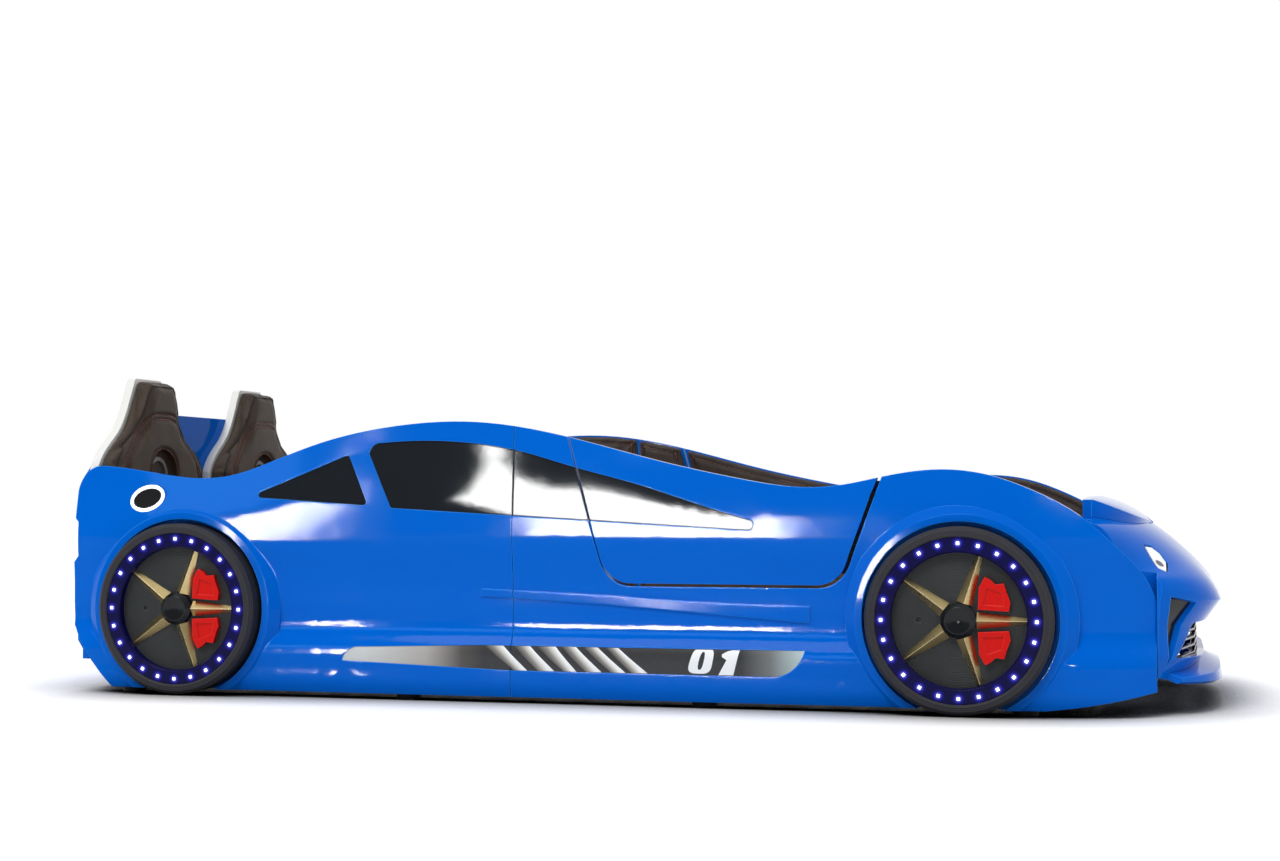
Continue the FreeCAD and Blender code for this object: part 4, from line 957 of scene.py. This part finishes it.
def laid(name, rows, side, material):
    """A sheet through rows of (x, z, across, down), laid on the strip."""
    bm = bmesh.new()
    made = []
    for row in rows:
        line = []
        for x, z, a, d in row:
            top, foot = strip_edges(x, side)
            point = on_strip(x, min(max(z, foot), top), side)
            line.append((bm.verts.new(point), a, d))
        made.append(line)
    for upper, lower in zip(made, made[1:]):
        for i in range(len(upper) - 1):
            quad = (upper[i][0], upper[i + 1][0], lower[i + 1][0], lower[i][0])
            bm.faces.new(quad if side < 0 else reversed(quad))
    mesh = bpy.data.meshes.new(name)
    bm.to_mesh(mesh)
    bm.free()
    shares = [item for row in made for item in row]
    for layer, pick in (("across", 1), ("down", 2)):
        store = mesh.attributes.new(layer, "FLOAT", "POINT")
        store.data.foreach_set("value", [item[pick] for item in shares])
    mesh.materials.append(material)
    return mesh


# %% [markdown]
# ## The shapes of bars and figures
# A figure fits a slanted box, given by its corners: top left, top right, foot left, foot right.
# A bar has only their places along the bed, because it runs from edge to edge of the strip.

# %% Bars and figures
bars = [
    (-0.248, -0.208, -0.184, -0.157), (-0.186, -0.152, -0.134, -0.101),
    (-0.138, -0.099, -0.081, -0.055), (-0.088, -0.057, -0.035, -0.003),
    (-0.042, -0.012, 0.017, 0.046), (0.004, 0.030, 0.059, 0.091),
]
nought = ((0.184, 0.226, 0.169, 0.217), (0.117, 0.117, 0.068, 0.067))
one = ((0.241, 0.275, 0.232, 0.262), (0.116, 0.117, 0.065, 0.065))
number_middle = (nought[0][2] + one[0][1]) / 2
bar_columns, bar_lines = 6, 10
ring_count, ring_points = 3, 48
one_columns = 4
one_left = [
    (0, 0.55), (0.1, 0.3), (0.2, 0.02), (0.3, 0.04), (0.42, 0.36), (0.7, 0.2), (1, 0.02),
]


def slanted(corners, u, v):
    """A value between four corners: u from left to right, v from top to foot."""
    top_left, top_right, foot_left, foot_right = corners
    return between(between(top_left, top_right, u), between(foot_left, foot_right, u), v)


def bar_rows(bar, side):
    """The grid of one bar, from the strip's top edge to its foot."""
    rows = []
    for v in (j / bar_lines for j in range(bar_lines + 1)):
        row = []
        for u in (i / bar_columns for i in range(bar_columns + 1)):
            x = slanted(bar, u, v)
            top, foot = strip_edges(x, side)
            row.append((x, between(top, foot, v), u, v))
        rows.append(row)
    return rows


def nought_rows():
    """A heavy nought: rings from its slot out to its rounded box."""
    rows = []
    for share in (j / ring_count for j in range(ring_count + 1)):
        wide, tall = between(0.22, 1, share), between(0.7, 1, share)
        power = 2 / between(2.5, 3.6, share)
        row = []
        for i in range(ring_points + 1):
            angle = math.tau * i / ring_points
            c, d = math.cos(angle), math.sin(angle)
            u = 0.5 + 0.5 * wide * math.copysign(abs(c) ** power, c)
            v = 0.5 - 0.5 * tall * math.copysign(abs(d) ** power, d)
            row.append((*(slanted(corners, u, v) for corners in nought), u, v))
        rows.append(row)
    return rows


def one_rows():
    """A heavy one: a stem, and a flag at its top left."""
    rows = []
    for v, left in one_left:
        row = []
        for share in (i / one_columns for i in range(one_columns + 1)):
            u = between(left, 1, share)
            row.append((*(slanted(corners, u, v) for corners in one), share, v))
        rows.append(row)
    return rows


def turned(rows):
    """Rows mirrored about the number's middle, so that it reads from the other side."""
    return [[(2 * number_middle - x, z, a, d) for x, z, a, d in reversed(row)] for row in rows]


# %% [markdown]
# The right side gets the shapes as they are.  On the left the number is turned round, so that it
# reads from there too.

# %% Vinyl on both sides
for side, label in ((-1, "right"), (1, "left")):
    sheets = [("bar", bar_rows(bar, side), silver_vinyl) for bar in bars]
    for rows in (nought_rows(), one_rows()):
        sheets.append(("digit", rows if side < 0 else turned(rows), white_vinyl))
    for i, (kind, rows, material) in enumerate(sheets):
        name = f"stripe_{kind}_{i + 1}_{label}"
        sheet = placed(name, laid(name, rows, side, material))
        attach(sheet, "bed")
    print(len(sheets), "pieces of vinyl on the", label)

# %% [markdown]
# ## The floor
# The photograph has a plain white sweep.  The floor is a large sheet of white paper that glows a
# little for the camera, for shine and through glass, so that it reads as white while the bed's
# shadow stays.  Where the bed comes close, the paper's colour and its glow are darkened, as a
# painted shadow like the one under a real bed.


# %% Floor
def looking(tree):
    """The light path node, and 1 for rays of the camera, of shine and through glass."""
    path = add(tree, "LightPath")
    rays = {0: path.outputs["Is Camera Ray"], 1: path.outputs["Is Glossy Ray"]}
    seen = add(tree, "Math", rays, operation="MAXIMUM")
    rays = {0: seen, 1: path.outputs["Is Transmission Ray"]}
    return path, add(tree, "Math", rays, operation="MAXIMUM")


paper_glow = 0.1
shadow_reach = 0.3
shadow_dark = 0.36
shadow_light = 0.86
sheet = bpy.data.meshes.new("floor")
sheet.from_pydata([(-30, -20, 0), (30, -20, 0), (30, 60, 0), (-30, 60, 0)], [], [(0, 1, 2, 3)])
floor = placed("floor", sheet)
paper, tree, body, place = new_material("white_paper", "#fdfdfd", 0.9, Specular_IOR_Level=0.0)
fibre = add(tree, "TexNoise", {"Vector": place, "Scale": 1 / 0.5})
tint = add(tree, "MixRGB", {"Fac": fibre, "Color1": "#ffffff", "Color2": "#fcfcfc"})
# Painted shadow: near the bed the paper's colour and glow go dark.
near = add(tree, "AmbientOcclusion", {"Distance": shadow_reach}, samples=8).outputs["AO"]
painted_light = add(tree, "MapRange", {"Value": near, "From Min": shadow_dark, "From Max": shadow_light})
shaded = add(tree, "MixRGB", {"Fac": painted_light, "Color1": "#0c0c0d", "Color2": tint})
finish_surface(tree, body, shaded)
_, clear = looking(tree)
glow = add(tree, "Math", {0: clear, 1: painted_light}, operation="MULTIPLY")
strength = add(tree, "Math", {0: glow, 1: paper_glow}, operation="MULTIPLY")
body.inputs["Emission Color"].default_value = (1, 1, 1, 1)
tree.links.new(strength.outputs[0], body.inputs["Emission Strength"])
floor.data.materials.append(paper)
print("floor:", paper.name)

# %% [markdown]
# ## The room and the sun
# The room is white behind the bed and dim behind the camera, as a studio is, so that gloss shows
# a clean colour with few, sharp highlights.  A soft sun lights everything from above the camera.

# %% Room and sun
room_level = 0.8
side_level = 0.15
dark_level = 0.12
world = bpy.data.worlds.new("studio")
scene.world = world
world.use_nodes = True
tree = world.node_tree
path, clear = looking(tree)
way = add(tree, "SeparateXYZ", {0: add(tree, "TexCoord").outputs["Generated"]})
behind = add(
    tree, "MapRange",
    {"Value": way.outputs["Y"], "From Min": -0.6, "From Max": -0.15, "To Min": dark_level},
)
above = add(
    tree, "MapRange",
    {"Value": way.outputs["Z"], "From Max": 0.5, "To Min": side_level, "To Max": room_level},
)
shown = add(tree, "Math", {0: behind, 1: path.outputs["Is Camera Ray"]}, operation="MAXIMUM")
excess = add(tree, "Math", {0: shown, 1: above}, operation="SUBTRACT")
level = add(tree, "Math", {0: clear, 1: excess, 2: above}, operation="MULTIPLY_ADD")
room = tree.nodes["Background"]
room.inputs["Color"].default_value = (1, 1, 1, 1)
tree.links.new(level.outputs[0], room.inputs["Strength"])

sun = placed("sun", bpy.data.lights.new("sun", "SUN"))
sun.data.energy = 1.4
sun.data.angle = math.radians(25)
sun.rotation_euler = Vector((0.25, 0.75, -1.0)).to_track_quat("-Z", "Y").to_euler()
print("room:", world.name, "and a sun of", round(sun.data.energy, 1))

# %% [markdown]
# ## The cards
# The highlights come from white cards behind the camera, each flagged off all but the pieces that
# need it: the band under the windows, a narrow one on the rear haunch, a slim one and a wide pale
# blue one on the crests, a sloping one for the glass, and a large dim one for the bright metals.

# %% Cards
card_distance = -5.0
card_factor = 4  # an area lamp's watts for one square metre and a radiance of one


def flagged(name, *materials):
    """A collection of the solids with some materials, for lamps that light nothing else."""
    made = bpy.data.collections.new(name)
    for piece in nodes.values():
        if piece.data.materials[0] in materials:
            made.objects.link(piece)
    return made


def card(name, along, height, size, tilt, radiance, receivers, colour="#ffffff"):
    """A white card behind the camera that only shine shows, tilted in its own plane."""
    lamp = bpy.data.lights.new(name, "AREA")
    lamp.shape = "RECTANGLE"
    lamp.size, lamp.size_y = size
    lamp.energy = radiance * size[0] * size[1] * card_factor
    lamp.color = linear(colour)[:3]
    made = placed(name, lamp)
    made.location = (along, card_distance, height)
    made.rotation_euler = (math.radians(90), math.radians(tilt), 0)
    made.visible_diffuse = False
    made.visible_camera = False
    made.light_linking.receiver_collection = receivers


shells = flagged("gloss_shells", blue_abs)
glass = flagged("gloss_windows", window_acrylic)
metals = flagged("bright_metals", gold_plate, chrome_plate)
card("band_card", -0.98, 0.45, (1.24, 0.6), 0, 210, shells)
card("haunch_card", -2.6, 0.6, (0.2, 1.2), 0, 210, shells)
card("fender_card", 1.5, 1.0, (1.2, 0.07), 20, 210, shells)
card("crest_card", -1.2, 1.9, (5.0, 1.0), 0, 14, shells, "#7fc0ff")
card("window_card", -1.215, 0.82, (1.5, 0.44), 30, 90, glass)
card("metal_card", -1.2, 1.4, (6.0, 2.6), 0, 1.6, metals)
print("cards:", len([lamp for lamp in bpy.data.lights if lamp.type == "AREA"]))

scene.view_settings.view_transform = "Standard"
